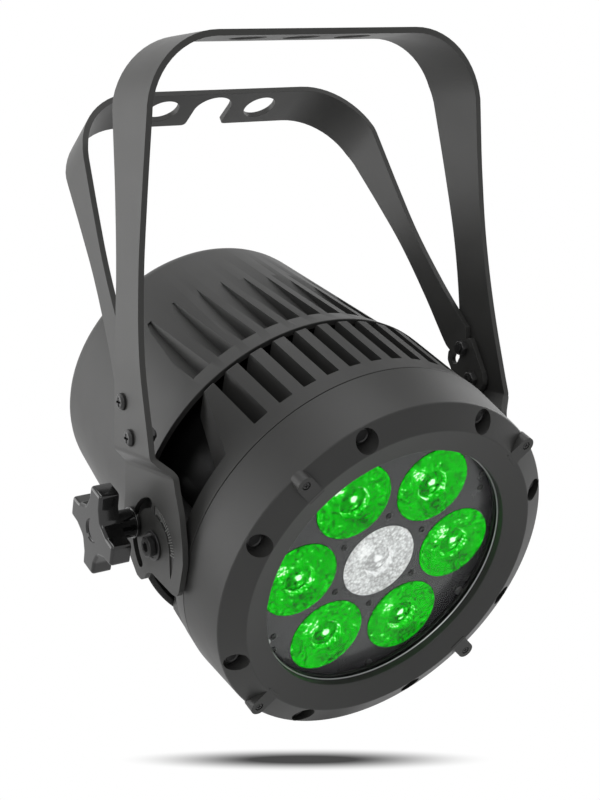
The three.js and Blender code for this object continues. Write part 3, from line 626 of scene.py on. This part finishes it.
# the plate's outline, from the rear round the foot to the front
PLATE = [(-28.4, 36), (28, 36), (30, 24, 6), (33.6, 12, 8), (34, 0, 10), (30, -13, 10),
         (23.5, -21.5, 4), (18.5, -23.2, 4), (14.8, -21.5, 3), (10.7, -17, 4), (5, -16.2, 4),
         (-17, -22.3, 6), (-21.5, -22.6, 3), (-24.8, -19.5, 4), (-31.4, -4, 12), (-32.4, 6, 12),
         (-31.6, 22, 20)]
SLOT_RING, SLOT_FROM, SLOT_TO = 22.5, -36, 86
SCALE_FROM = 100  # where the tilt scale starts, in degrees
HINGE_YZ = (1.5, 58.2)
LOCK_YZ = (9.134, 75.926)
REAR_TOP, REAR_HALF = 196, 15.6
REAR_BAR_HALF, REAR_BEND, REAR_LEAN = 55.68, 42.5, 5.4
REAR_LEG_TOP, REAR_LEG_FOOT = 157.5, 28
END_OUT = 110.89
REAR_LEG = [(REAR_LEG_TOP, END_OUT - 12.9, 14.2), (126, END_OUT - 9.9, 10.4),
            (95, END_OUT - 7, 7.8), (60, END_OUT - 3.7, 8.6), (34, END_OUT - 1.1, 11.0),
            (25, END_OUT, 11.8), (10, END_OUT, 11.8)]
END_PLATE = [(-11.6, 22, 4), (-10.6, 10), (-9.4, -1, 5), (-6.6, -6.8, 5), (0, -9.4, 5),
             (6.6, -6.9, 5), (9.4, -2, 6), (15.8, 13, 5), (15.4, 20, 4), (11.6, 24, 3)]
LOCK_RING = 19.3


def strip_outline(path):
    """The edge-on outline of a bent strap. The path runs down its outer face on the right."""
    inner = []
    for i, (x, z) in enumerate(path):
        before, after = Vector(path[max(i - 1, 0)]), Vector(path[min(i + 1, len(path) - 1)])
        along = (after - before).normalized()
        inner.append((x + along.y * STRAP, z - along.x * STRAP))
    left = [(-x, z) for x, z in reversed(path[1:])]
    inner_left = [(-x, z) for x, z in inner[1:]]
    return left + list(path) + inner[:0:-1] + [inner[0]] + inner_left


def bar_and_corner(half, top, radius, end_angle, steps=14):
    """The outer face from the bar's middle round the bend to the top of the leg."""
    path = [(half * k / 4, top) for k in range(4)]
    for i in range(steps):
        angle = math.radians(90 - (90 - end_angle) * i / steps)
        path.append((half + radius * math.cos(angle), top - radius + radius * math.sin(angle)))
    return path


def bent_strap(path, side_view):
    """A strap bent along the path and trimmed to its outline as seen from the side."""
    edge_on = prism(strip_outline(path), 100,
                    Matrix.Translation((0, 50, 0)) @ Matrix.Rotation(math.pi / 2, 4, "X"))
    strap = combine(edge_on, prism(side_view, 260, outward(1, -130)), "INTERSECT")
    bmesh.ops.remove_doubles(strap, verts=strap.verts, dist=STRAP_WELD)
    return strap


def arc_slot(radius, start, end, half, depth, place, steps=28):
    """A rounded slot along an arc, angles from the first axis towards the second."""
    sweep = [start + (end - start) * k / steps for k in range(steps + 1)]
    outline = [on_ring(radius + half, angle) for angle in sweep]
    for angle, flip in ((end, 0), (start, 180)):
        centre = Vector(on_ring(radius, angle))
        for k in range(1, 8):
            outline.append(tuple(centre + Vector(on_ring(half, angle + flip + 22.5 * k))))
        if not flip:
            outline += [on_ring(radius - half, back) for back in reversed(sweep)]
    return prism(outline, depth, place)


def spread(high, low, steps):
    """Heights from high to low, evenly."""
    return [high - (high - low) * k / steps for k in range(steps + 1)]


def front_yoke():
    """The bent strap with its bar holes, arc slots, pivot rings and scale grooves."""
    rows = [(curve_through(LEG, height), height) for height in spread(LEG_TOP, LEG_FOOT, 36)]
    path = bar_and_corner(BAR_HALF, TOP, BAR_BEND, LEG_LEAN)
    path += [(row[0], height) for row, height in rows[:-3]]
    path += soften([(116.05, 58), (116.4, LEG_FOOT, 5), (PLATE_OUT, 41, 5),
                    (PLATE_OUT, PLATE_FOOT)], 6)[1:]
    fronts = [(row[1], height) for row, height in rows]
    rears = [(row[2], height) for row, height in rows]
    front, rear = YOKE_BACK - STRAP_HALF, YOKE_BACK + STRAP_HALF
    side_view = [(rear, TOP + 2), (front, TOP + 2), (front, 226)]
    side_view += fronts + [(-27.5, 41, 5), (-28.6, 34)] + soften(PLATE)[:0:-1]
    side_view += [(27.4, 41, 5)] + rears[::-1] + [(rear, 228)]
    body = bent_strap(path, soften(side_view))
    cutters = []
    for side in SIDES.values():
        out = outward(side, 100)
        cutters += [drum(M6_HOLE, 20, out),
                    arc_slot(SLOT_RING, SLOT_FROM, SLOT_TO, M5_HOLE, 20, out),
                    drum(M5_HOLE, 20, outward(side, 100, *HINGE_YZ)),
                    drum(M5_HOLE, 20, outward(side, 100, *LOCK_YZ))]
        groove = [on_ring(17.1, SCALE_FROM + 4 * k) for k in range(23)]
        groove += [(-15.9, -15.6, 0.5), *[on_ring(22.4, 188 - 4 * k) for k in range(23)]]
        cutters.append(prism(groove, 5, outward(side, PLATE_OUT - 0.8)))
        pressed_ring = [(5.5, -0.3), (6.9, -0.3), (6.9, 1), (5.5, 1)]
        cutters.append(lathe(pressed_ring, outward(side, PLATE_OUT), 40, True))
    for x in (-BAR_HOLES, 0, BAR_HOLES):
        cutters.append(drum(BAR_HOLE, 20, Matrix.Translation((x, YOKE_BACK, TOP - 10)), 64))
    body = tidy_flats(combine(body, gather(*cutters)))
    piece("front_yoke_strap", body, YOKE, YOKE_COAT, "front_yoke", ["front_yoke"],
          bevel=0.5)


def tilt_scale(word, side):
    """Raised marks in the groove round the pivot, one every four degrees."""
    marks = []
    for k in range(1, 22):
        long = 4.6 if k % 5 == 1 else 3.4
        turn = Matrix.Rotation(math.radians(SCALE_FROM + 4 * k), 4, "Z")
        mark = brick((22.2 - long, -0.32, 0), (22.2, 0.32, 0.75))
        bmesh.ops.transform(mark, matrix=outward(side, PLATE_OUT - 0.82) @ turn, verts=mark.verts)
        bmesh.ops.recalc_face_normals(mark, faces=mark.faces)
        marks.append(mark)
    piece(f"tilt_scale_{word}", gather(*marks), YOKE, SCALE_PAINT, "front_yoke")


def hook_opening():
    """The open slot in the rear crossbar, with rounded mouth corners."""
    edge, half = REAR_HALF + 0.02, 12
    outline = [(-19, 20), (-19, edge), (-half, edge, 3), (-half, 0)]
    outline += [on_ring(half, 180 + 180 * k / 24) for k in range(1, 24)]
    return outline + [(half, 0), (half, edge, 3), (19, edge), (19, 20)]


def rear_yoke():
    """The folding strap with its bar holes, hook opening and rounded end plates."""
    rows = [(curve_through(REAR_LEG, height), height)
            for height in spread(REAR_LEG_TOP, REAR_LEG_FOOT, 30)]
    path = bar_and_corner(REAR_BAR_HALF, REAR_TOP, REAR_BEND, REAR_LEAN)
    path += [(min(row[0], END_OUT), height) for row, height in rows] + [(END_OUT, -12)]
    side_view = [(REAR_HALF, REAR_TOP + 2), (-REAR_HALF, REAR_TOP + 2), (-REAR_HALF, 165)]
    side_view += [(-row[1], height) for row, height in rows] + soften(END_PLATE)
    side_view += [(row[1], height) for row, height in reversed(rows)] + [(REAR_HALF, 165)]
    body = bent_strap(path, side_view)
    cutters = [prism(hook_opening(), 20, Matrix.Translation((0, 0, REAR_TOP - 10)))]
    for side in SIDES.values():
        out = outward(side, 100)
        cutters += [drum(M5_HOLE, 20, out),
                    arc_slot(LOCK_RING, 90 - 28.9, 90 + 8.6, M5_HOLE, 20, out, 10)]
    for x in (-BAR_HOLES, BAR_HOLES):
        cutters.append(drum(BAR_HOLE, 20, Matrix.Translation((x, 0, REAR_TOP - 10)), 64))
    body = tidy_flats(combine(body, gather(*cutters)))
    piece("rear_yoke_strap", body, REAR, YOKE_COAT, "rear_yoke", ["rear_yoke"],
          bevel=0.5)


def cross_recess(arm, half, depth, place):
    """The cross-shaped drive of a screw, sunk from Z = 0."""
    quarter = [(arm, half), (half, half), (half, arm)]
    outline = []
    for turn in range(4):
        for corner in quarter:
            outline.append(tuple(Matrix.Rotation(math.radians(90 * turn), 2) @ Vector(corner)))
    return prism(outline, depth + 1, place @ Matrix.Translation((0, 0, -depth)))


def pan_head(place, radius=4.6, height=2.3, shank=None, shank_radius=2.5):
    """A cross-drive pan head standing on Z = 0, with its shank below where it has one."""
    top = [(radius, 0.0), (radius, height * 0.45, 0.5), (radius * 0.72, height * 0.94, 1.2),
           (0, height)]
    foot = [(0, -shank), (shank_radius, -shank), (shank_radius, 0)] if shank else [(0, 0)]
    head = lathe(foot + top, place, 32)
    drive = cross_recess(radius * 0.56, radius * 0.13, height * 0.6,
                         place @ Matrix.Translation((0, 0, height)))
    return combine(head, drive)


def hinge_fittings(word, side):
    """The rear yoke's hinge and lock screws with their nuts, and the washer between the yokes."""
    nut_in = END_OUT - STRAP - 4.15
    for name, spot, face in (("hinge", HINGE_YZ, 116.3), ("lock", LOCK_YZ, 115.55)):
        screw = pan_head(outward(side, face, *spot), 4.5, 2.2, face - (END_OUT - 8.6))
        piece(f"{name}_pan_screw_{word}", screw, YOKE, BLACK_STEEL, "front_yoke",
              [f"{name}_screw_{word}"])
        nut = prism([on_ring(4.6, 60 * k) for k in range(6)], 4, outward(side, nut_in, *spot))
        crown = lathe([(0, -0.1), (3.7, -0.1), (5.2, 1.4), (5.2, 2.6), (3.7, 4.1), (0, 4.1)],
                      outward(side, nut_in, *spot), 32)
        nut = combine(combine(nut, crown, "INTERSECT"),
                      drum(2.6, 8, outward(side, END_OUT - STRAP - 6, *spot), 32))
        piece(f"{name}_hex_nut_{word}", nut, YOKE, DARK_ZINC, "front_yoke",
              [f"{name}_nut_{word}"], bevel=0.2)
    washer = lathe([(M5_HOLE, 0), (8.4, 0, 0.3), (8.4, 1.2, 0.3), (M5_HOLE, 1.2)],
                   outward(side, END_OUT + 0.15, *HINGE_YZ), 48, True)
    piece(f"hinge_plain_washer_{word}", washer, YOKE, DARK_ZINC, "front_yoke",
          [f"hinge_washer_{word}"])


# ---------------------------------------------------------------- tilt pivots and knobs

KNOB_TURN = 22.4
STUD_IN_HEAD = on_ring(SLOT_RING, 22 - KNOB_TURN)
BRACKET_IN, BRACKET_OUT = 88.3, 103.3
BRACKET = [(-15.5, -20, 3), (24, -20, 3), (32, -9, 4), (32, 9, 4), (24, 20, 3), (-15.5, 20, 3)]
KNOB_BACK, KNOB_FACE = 122.6, 133.4


def knob_outline():
    """Four flat-ended arms with deep scallops between them."""
    arm = [(24.9, -6.0, 2.2), (24.9, 6.0, 2.2), (17, 6.4, 5), (9.6, 9.6, 5), (6.4, 17, 5)]
    outline = []
    for k in range(4):
        turn = Matrix.Rotation(math.radians(90 * k), 2)
        outline += [(*(turn @ Vector(point[:2])), point[2]) for point in arm]
    return outline


def tilt_knob(word, side):
    """A moulded four-arm knob on a long hub, with its stud."""
    turned = outward(side, 0) @ Matrix.Rotation(math.radians(KNOB_TURN), 4, "Z")
    grip = prism(knob_outline(), KNOB_FACE - KNOB_BACK,
                 turned @ Matrix.Translation((0, 0, KNOB_BACK)))
    grip = tidy_flats(grip, 0.2)
    front = [edge for edge in grip.edges
             if len(edge.link_faces) == 2 and edge.calc_face_angle(0) > 1.2
             and all(abs(abs(vert.co.x) - KNOB_FACE) < 0.01 for vert in edge.verts)]
    bmesh.ops.bevel(grip, geom=front, offset=2.2, offset_type="OFFSET", segments=4, profile=0.5,
                    affect="EDGES", clamp_overlap=True, material=-1)
    hub = lathe([(0, 108.5), (8.5, 108.5, 0.4), (8.5, 110.6, 0.6), (7.7, 111.0), (7.7, 119.5),
                 (8.6, 124.5), (0, 124.5)], outward(side, 0), 48)
    body = combine(grip, hub, "UNION")
    body = combine(body, drum(M5_HOLE, 12, outward(side, 107.5), 32))
    dish = lathe([(0, KNOB_FACE - 0.9), (6.0, KNOB_FACE - 0.9, 0.5), (7.2, KNOB_FACE + 1),
                  (0, KNOB_FACE + 1)], outward(side, 0), 48)
    body = combine(body, dish)
    bmesh.ops.remove_doubles(body, verts=body.verts, dist=WELD)
    piece(f"lock_knob_{word}", body, KNOB, GLOSS_BLACK, f"tilt_knob_{word}", [f"tilt_knob_{word}"],
          smooth=36, bevel=0.6, segments=3)
    thread = [(0, 92.4), (2.0, 92.4), (2.5, 93)]
    for k in range(22):
        thread += [(2.5, 93.2 + k * 0.8), (2.15, 93.6 + k * 0.8)]
    thread += [(2.5, 111.2), (2.5, 119), (0, 119)]
    piece(f"lock_stud_thread_{word}", lathe(thread, outward(side, 0), 28), KNOB, DARK_ZINC,
          f"tilt_knob_{word}", [f"lock_stud_{word}"])


def pivot_fittings(word, side):
    """The head's cast bracket, its pivot bolt and washer, and the friction ring."""
    bracket = prism(BRACKET, BRACKET_OUT - BRACKET_IN, outward(side, BRACKET_IN))
    cutters = gather(drum(M6_HOLE, 20, outward(side, BRACKET_IN + 2)),
                     drum(M5_HOLE, 20, outward(side, BRACKET_IN + 2, *STUD_IN_HEAD)))
    bracket = combine(bracket, cutters)
    piece(f"cast_bracket_{word}", bracket, HEAD, BLACK_CAST, "head", [f"side_bracket_{word}"],
          bevel=1.0, segments=3)
    head_in = PLATE_OUT + 1.5
    bolt = lathe([(0, BRACKET_IN + 3), (3, BRACKET_IN + 3), (3, head_in), (5.4, head_in, 0.4),
                  (5.4, head_in + 3.6, 0.7), (0, head_in + 3.6)], outward(side, 0), 48)
    socket = prism([on_ring(2.9, 60 * k) for k in range(6)], 4, outward(side, head_in + 1.4))
    piece(f"pivot_socket_bolt_{word}", combine(bolt, socket), HEAD, BLACK_STEEL, "head",
          [f"pivot_bolt_{word}"], bevel=0.15)
    washer = lathe([(M6_HOLE, 0.15), (8, 0.15, 0.3), (8, 1.35, 0.35), (6.6, 1.35), (6.2, 1.0),
                    (M6_HOLE, 1.0)], outward(side, PLATE_OUT), 56, True)
    piece(f"pivot_dished_washer_{word}", washer, HEAD, BLACK_STEEL, "head",
          [f"pivot_washer_{word}"])
    disc_in, disc_out = BRACKET_OUT + 0.15, PLATE_OUT - STRAP - 0.15
    disc = lathe([(M6_HOLE, disc_in), (14, disc_in, 0.3), (14, disc_out, 0.3), (M6_HOLE, disc_out)],
                 outward(side, 0), 56, True)
    piece(f"friction_ring_{word}", disc, HEAD, MATT_BLACK, "head", [f"friction_disc_{word}"])


front_yoke()
rear_yoke()
for word, side in SIDES.items():
    tilt_scale(word, side)
    hinge_fittings(word, side)
    tilt_knob(word, side)
    pivot_fittings(word, side)


# ---------------------------------------------------------------- head shells

RECESS_RING, LUG_RING, LUG_HALF = 94.8, 98.1, 4.75
RECESS_ANGLES = [21.1 + 45 * k for k in range(8)]
LUG_ANGLES = [21.1 + 22.5 + 90 * k for k in range(4)]
GLASS_R = 77.4


def on_ring_at(radius, degrees, d):
    """A place round the beam axis, d forward of the tilt pivot."""
    x, z = on_ring(radius, degrees)
    return x, d, z


def front_bezel():
    """The front ring with its deep screw recesses and screw lugs, and the screws in them."""
    body = ring([
        (103.9, 27.5, 0.4), (101.7, 59.6, 1.6), (88.7, 66, 1.4), (74.6, 62, 0.9), (74.6, 57.35),
        (77.7, 57.35), (77.7, 52), (81.1, 52), (83.6, 58), (98.2, 56.5), (100.4, 27.5, 0.4),
    ], 192)
    bosses = [drum(6.8, 8.1, beamwise(*on_ring_at(RECESS_RING, angle, 51.5)), 40)
              for angle in RECESS_ANGLES]
    cutters = [drum(6.1, 12, beamwise(*on_ring_at(RECESS_RING, angle, 56.5)), 40)
               for angle in RECESS_ANGLES]
    body = combine(body, gather(*bosses), "UNION")
    body = combine(body, gather(*cutters))
    outline = [(86.7, -LUG_HALF), (LUG_RING, -LUG_HALF)]
    for turn in range(15, 180, 15):
        back, across = on_ring(LUG_HALF, turn)
        outline.append((LUG_RING + across, -back))
    outline += [(LUG_RING, LUG_HALF), (86.7, LUG_HALF)]
    lugs = [prism(outline, 7.2, beamwise(0, 58.6, 0) @ Matrix.Rotation(math.radians(angle), 4, "Z"))
            for angle in LUG_ANGLES]
    body = combine(body, gather(*lugs), "UNION")
    screws = [drum(2.3, 3, beamwise(*on_ring_at(LUG_RING, angle, 64.9)), 24)
              for angle in LUG_ANGLES]
    body = tidy_flats(combine(body, gather(*screws)), 0.3)
    piece("bezel", body, HEAD, SHELL_COAT, "head", ["front_bezel"], smooth=28,
          bevel=0.45)
    heads = [pan_head(beamwise(*on_ring_at(LUG_RING, angle, 64.95)), 2.1, 0.75)
             for angle in LUG_ANGLES]
    cap = [(0, 0), (4.6, 0), (4.6, 1.2, 0.5), (3.6, 1.6, 0.4), (3.0, 1.1, 0.4), (0, 0.9)]
    heads += [lathe(cap, beamwise(*on_ring_at(RECESS_RING, angle, 56.55)), 40)
              for angle in RECESS_ANGLES]
    piece("bezel_screws", gather(*heads), HEAD, BLACK_STEEL, "head")


def window():
    """The glass, the ring that holds it and the bright trim round its front."""
    piece("window_pane", drum(GLASS_R, 3, beamwise(0, 54.2, 0), 160), HEAD, WINDOW_GLASS,
          "head", ["window_glass"])
    piece("glass_retaining_ring",
          ring([(74.4, 52.2, 0.4), (GLASS_R, 52.2, 0.3), (GLASS_R, 54.05, 0.3),
                (74.4, 54.05, 0.4)]),
          HEAD, BLACK_STEEL, "head", ["glass_ring"])
    piece("window_trim_ring",
          ring([(73.8, 57.4, 0.1), (74.5, 57.4, 0.1), (74.5, 58.0, 0.1), (74.1, 58.0, 0.1)]),
          HEAD, ALLOY, "head")


LOUVRES = 11
LOUVRE_PITCH, LOUVRE_HALF = 13.1, 3.5
FLUTE_PITCH, FLUTE_HALF = 13.3, 4.3
COVER_SHOULDER, COVER_TAIL = (98.9, -44.5), (88.3, -154)
ROUND = 240  # facets round a shell


def front_housing():
    """The louvred shell behind the front ring, cut away at both sides for the brackets."""
    body = ring([
        (103.9, 27.1, 0.5), (103.1, 16), (102.8, -28.5, 2.2), (92, -28.5, 2.0), (92, 12),
        (96, 16), (96, 27.1),
    ], ROUND)
    cutters = []
    for side in SIDES.values():
        plan = [(side * x, -d) for x, d in ((73, -30), (83, 16), (112, 16), (112, -30))]
        cutters.append(prism(plan, 240, Matrix.Translation((0, 0, -120))))
    for i in range(LOUVRES):
        x = (i - LOUVRES // 2) * LOUVRE_PITCH
        left, right = x - LOUVRE_HALF, x + LOUVRE_HALF
        plan = [(left, 31), (right, 31), (right, -16, 0.8), (left, -16, 0.8)]
        cutters.append(prism(plan, 240, Matrix.Translation((0, 0, -120))))
    body = combine(body, gather(*cutters[:2]))
    body = combine(body, gather(*cutters[2:]))
    body = tidy_flats(body, 0.3)
    piece("louvred_housing", body, HEAD, SHELL_COAT, "head", ["front_housing"],
          smooth=28, bevel=0.5)


def cover_radius(d):
    """The rear cover's outer radius at a place along the beam."""
    share = (d - COVER_SHOULDER[1]) / (COVER_TAIL[1] - COVER_SHOULDER[1])
    return COVER_SHOULDER[0] - (COVER_SHOULDER[0] - COVER_TAIL[0]) * share


def rear_cover():
    """The tapered cover with flutes that run out towards its rounded tail."""
    body = ring([
        (102.8, -29.8, 0.5), COVER_SHOULDER, (95.4, -80), (*COVER_TAIL, 14), (80.6, -164, 1),
        (80.4, -164), (80.4, -160.3), (74, -160.3), (74, -157), (80, -155), (85, -148),
        (88.5, -108), (88.5, -44), (99.5, -29.8),
    ], ROUND)
    start, end, beyond = -COVER_SHOULDER[1], 104, 112
    cutters = []
    for i in range(LOUVRES):
        x = (i - LOUVRES // 2) * FLUTE_PITCH
        high = math.sqrt(COVER_SHOULDER[0] ** 2 - x ** 2)
        low = math.sqrt(cover_radius(-end) ** 2 - x ** 2)
        for up in (1, -1):
            outline = [(start, up * (high - 7), 0.6), (end, up * low), (beyond, up * (low + 1)),
                       (beyond, up * beyond), (start, up * beyond)]
            cutters.append(prism(outline, 2 * FLUTE_HALF,
                                 Matrix.Translation((x - FLUTE_HALF, 0, 0)) @ facing(1)))
    for side in SIDES.values():
        cutters.append(prism([(-29, -22), (34, -22), (34, 22), (-29, 22)], 26, outward(side, 86.3)))
    body = combine(body, gather(*cutters))
    body = tidy_flats(body, 0.3)
    piece("finned_cover", body, HEAD, SHELL_COAT, "head", ["rear_cover"],
          smooth=28, bevel=1.1, segments=3)


front_bezel()
window()
front_housing()
rear_cover()


# ---------------------------------------------------------------- lenses and their plate

LENS_RING, LENS_R = 50, 22.4
CUP_R, CUP_BACK, FACE_BACK = 9.8, 48.4, 51.4
PLATE_D, PLATE_FRONT = 48.8, 51.2
LENS_PLACES = [(0, 0)] + [on_ring(LENS_RING, 60 * i) for i in range(6)]
POST_PLACES = [on_ring(74, angle) for angle in (210, 330, 90)]


def mark_face(shape, place):
    """Stores where each corner lies on the lens face in a UV map, and the unlit back far off it."""
    layer = shape.loops.layers.uv.new("lens_face")
    back = place.inverted()
    for face in shape.faces:
        middle = back @ face.calc_center_median()
        lit = middle.z > (CUP_BACK if math.hypot(middle.x, middle.y) < CUP_R else FACE_BACK)
        for loop in face.loops:
            spot = (back @ loop.vert.co) / LENS_R / 2
            loop[layer].uv = (0.5 + spot.x, 0.5 + spot.y) if lit else (3, 3)


def lens(name, node_name, place, coat):
    """A moulded lens: a cone behind, a flat front face, and a domed cup at its middle."""
    profile = [(0, 33), (9, 33, 1), (18, 41, 4), (22.3, 48.6), (LENS_R, 49.2), (LENS_R, 51.5, 0.4),
               (21.6, 51.95, 0.4), (9.7, 52, 0.3), (9.0, 51.4), (8.6, 48.7), (7.2, 49.3),
               (5.0, 50.1), (2.6, 50.65), (0, 50.85)]
    at = beamwise(place[0], 0, place[1])
    shape = lathe(profile, at, 72)
    mark_face(shape, at)
    piece(name, shape, HEAD, coat, "zoom_carriage", [node_name], smooth=40)


def lens_plate():
    """The dark plate that carries the lenses, its three guide posts and its screws."""
    body = drum(79.5, PLATE_FRONT - PLATE_D, beamwise(0, PLATE_D, 0), 192)
    posts = gather(*(drum(4.8, 6.4, beamwise(x, 43.8, z), 32) for x, z in POST_PLACES))
    body = combine(body, posts, "UNION")
    holes = [drum(LENS_R + 0.3, 30, beamwise(x, 38, z), 96) for x, z in LENS_PLACES]
    holes += [drum(M5_HOLE, 30, beamwise(x, 38, z), 32) for x, z in POST_PLACES]
    body = combine(body, gather(*holes))
    piece("lens_plate", tidy_flats(body, 0.3), HEAD, PLATE_GREY, "zoom_carriage", ["lens_carriage"],
          bevel=0.3)
    spots = [(28.9, 30 + 60 * k) for k in range(6)] + [(69, 30 + 60 * k) for k in (0, 2, 3, 5)]
    spots += [(73, 37 + 60 * k) for k in range(6)]
    heads = [pan_head(beamwise(*on_ring_at(radius, angle, PLATE_FRONT)), 1.9, 0.9)
             for radius, angle in spots]
    piece("lens_plate_screws", gather(*heads), HEAD, BLACK_STEEL, "zoom_carriage")


lens_plate()
lens("centre_lens", "lens_middle", LENS_PLACES[0], LENS_WHITE)
for i in range(1, 7):
    lens(f"outer_lens_{i}", f"lens_{i}", LENS_PLACES[i], LENS_GREEN)


# ---------------------------------------------------------------- rear panel

PANEL_D = -163.0
BUTTONS_X = (-27, -9, 9, 27)
BUTTON_Z = 14
CONNECTORS = {"power_in": (-42, -18), "power_out": (-24, -50),
              "data_in": (42, -18), "data_out": (24, -50)}
DISPLAY_Z, FUSE_Z, EYE_Z = 37, -16, 62
SOCKET_R = 11


def rounded(half_x, half_z, corner):
    """A rectangle with rounded corners about its middle."""
    return [(-half_x, -half_z, corner), (half_x, -half_z, corner),
            (half_x, half_z, corner), (-half_x, half_z, corner)]


def backwise(x, out, z):
    """Turns Z to point out of the rear panel, from its outer face."""
    return Matrix.Translation((x, -(PANEL_D - out), z)) @ Matrix.Rotation(-math.pi / 2, 4, "X")


def rear_panel():
    """The round rear panel with its openings and screws, and the display's dark pane."""
    body = drum(79.9, 2.5, backwise(0, -2.5, 0), 160)
    holes = [drum(4.6, 8, backwise(x, -5, BUTTON_Z), 40) for x in BUTTONS_X]
    holes += [drum(SOCKET_R + 0.3, 8, backwise(x, -5, z), 56) for x, z in CONNECTORS.values()]
    holes += [drum(6.3, 8, backwise(0, -5, FUSE_Z), 40),
              prism(rounded(28.2, 10.2, 1), 8, backwise(0, -5, DISPLAY_Z))]
    body = tidy_flats(combine(body, gather(*holes)), 0.3)
    piece("panel_plate", body, HEAD, SHELL_COAT, "head", ["rear_panel"],
          bevel=0.35)
    heads = [pan_head(backwise(*on_ring_at(74, 30 + 60 * k, 0)), 2.8, 1.2) for k in range(6)]
    for x, z in CONNECTORS.values():
        heads += [pan_head(backwise(x + 9.8 * s, 2.6, z + 9.8 * s), 1.6, 0.7) for s in (-1, 1)]
    piece("panel_screws", gather(*heads), HEAD, BLACK_STEEL, "head")
    pane = prism(rounded(27.9, 9.9, 1), 3.1, backwise(0, -2.5, DISPLAY_Z))
    piece("display_pane", pane, HEAD, GLOSS_BLACK, "head", ["display_window"],
          bevel=0.4)


def panel_button(i, x):
    """A round key with a collar that keeps it behind the panel."""
    cap = lathe([(0, -3.5), (4.3, -3.5), (4.3, -3.6), (5.7, -3.6, 0.1), (5.7, -2.65), (4.3, -2.65),
                 (4.3, 1.4, 0.5), (3.4, 1.6, 0.4), (0, 1.3)], backwise(x, 0, BUTTON_Z), 48)
    piece(f"key_{i}", cap, HEAD, MATT_BLACK, f"button_{i}", [f"button_{i}"])


def connector(name, spot):
    """A round chassis socket on a square flange."""
    x, z = spot
    power = name.startswith("power")
    mouth, core = (8.5, 4.0) if power else (8.2, 2.5)
    flange = prism(rounded(13, 13, 2.5), 2.4, backwise(x, 0.15, z))
    barrel = lathe([(0, -16.5), (SOCKET_R, -16.5), (SOCKET_R, 4.2, 0.6), (0, 4.2)],
                   backwise(x, 0, z), 64)
    body = combine(flange, barrel, "UNION")
    body = combine(body, drum(mouth, 20, backwise(x, -11, z), 64))
    pin = lathe([(0, -12), (core, -12), (core, 2.2, 0.7), (0, 2.2)], backwise(x, 0, z), 40)
    body = combine(body, pin, "UNION")
    low, high = mouth - 2, mouth + 1.2
    key = prism([(-1.6, low), (1.6, low), (1.6, high), (-1.6, high)], 14, backwise(x, -11.5, z))
    body = combine(body, key, "UNION" if power else "DIFFERENCE")
    piece(f"{name}_socket", body, HEAD, MATT_BLACK, "head", [name], bevel=0.3)


def fuse_cap():
    """A slotted, finely fluted cap over the fuse."""
    body = lathe([(0, -13), (6, -13), (6, 0.15), (8, 0.15), (8, 4.6, 0.8), (0, 5)],
                 backwise(0, 0, FUSE_Z), 56)
    cutters = [prism(rounded(5, 0.7, 0), 4, backwise(0, 3.4, FUSE_Z))]
    for k in range(20):
        turn = backwise(0, 0.8, FUSE_Z) @ Matrix.Rotation(math.tau * k / 20, 4, "Z")
        cutters.append(drum(0.45, 2.9, turn @ Matrix.Translation((8.1, 0, 0)), 10))
    piece("fuse_cap", combine(body, gather(*cutters)), HEAD, MATT_BLACK, "head", ["fuse_holder"],
          bevel=0.12)


def safety_eye():
    """The ring for a safety wire, on its small foot."""
    foot = prism(rounded(9, 4, 2), 2.35, backwise(0, 0.15, EYE_Z))
    loop = bmesh.new()
    upright = Matrix.Translation((6.25, 0, 0)) @ Matrix.Rotation(math.pi / 2, 4, "X")
    bmesh.ops.create_circle(loop, cap_ends=False, segments=20, radius=1.75, matrix=upright)
    bmesh.ops.spin(loop, geom=loop.verts[:] + loop.edges[:], axis=(0, 0, 1), cent=(0, 0, 0),
                   angle=math.tau, steps=56, use_merge=True)
    bmesh.ops.remove_doubles(loop, verts=loop.verts, dist=MERGE)
    bmesh.ops.transform(loop, matrix=Matrix.Translation((0, -(PANEL_D - 8.6), EYE_Z)),
                        verts=loop.verts)
    bmesh.ops.recalc_face_normals(loop, faces=loop.faces)
    body = combine(foot, loop, "UNION")
    piece("safety_ring", body, HEAD, BRIGHT_STEEL, "head", ["safety_eye"], smooth=40,
          bevel=0.2)


rear_panel()
for i, x in enumerate(BUTTONS_X, 1):
    panel_button(i, x)
for name, spot in CONNECTORS.items():
    connector(name, spot)
fuse_cap()
safety_eye()


# ---------------------------------------------------------------- carried-over pieces

COATS = {
    "yoke_paint": YOKE_COAT, "shell_paint": SHELL_COAT, "black_cast": BLACK_CAST,
    "black_steel": BLACK_STEEL, "steel": BRIGHT_STEEL, "alloy": ALLOY,
    "gloss_black": GLOSS_BLACK, "plastic": MATT_BLACK, "board": BOARD,
    "glass": WINDOW_GLASS, "lens_green": LENS_GREEN, "lens_white": LENS_WHITE,
}

for part in frame["record"]["subparts"]:
    made = frame["nodes"][part["node"]]
    made.data.materials.clear()
    made.data.materials.append(COATS[part["material_slot"]])

bpy.context.scene.view_settings.view_transform = "Standard"
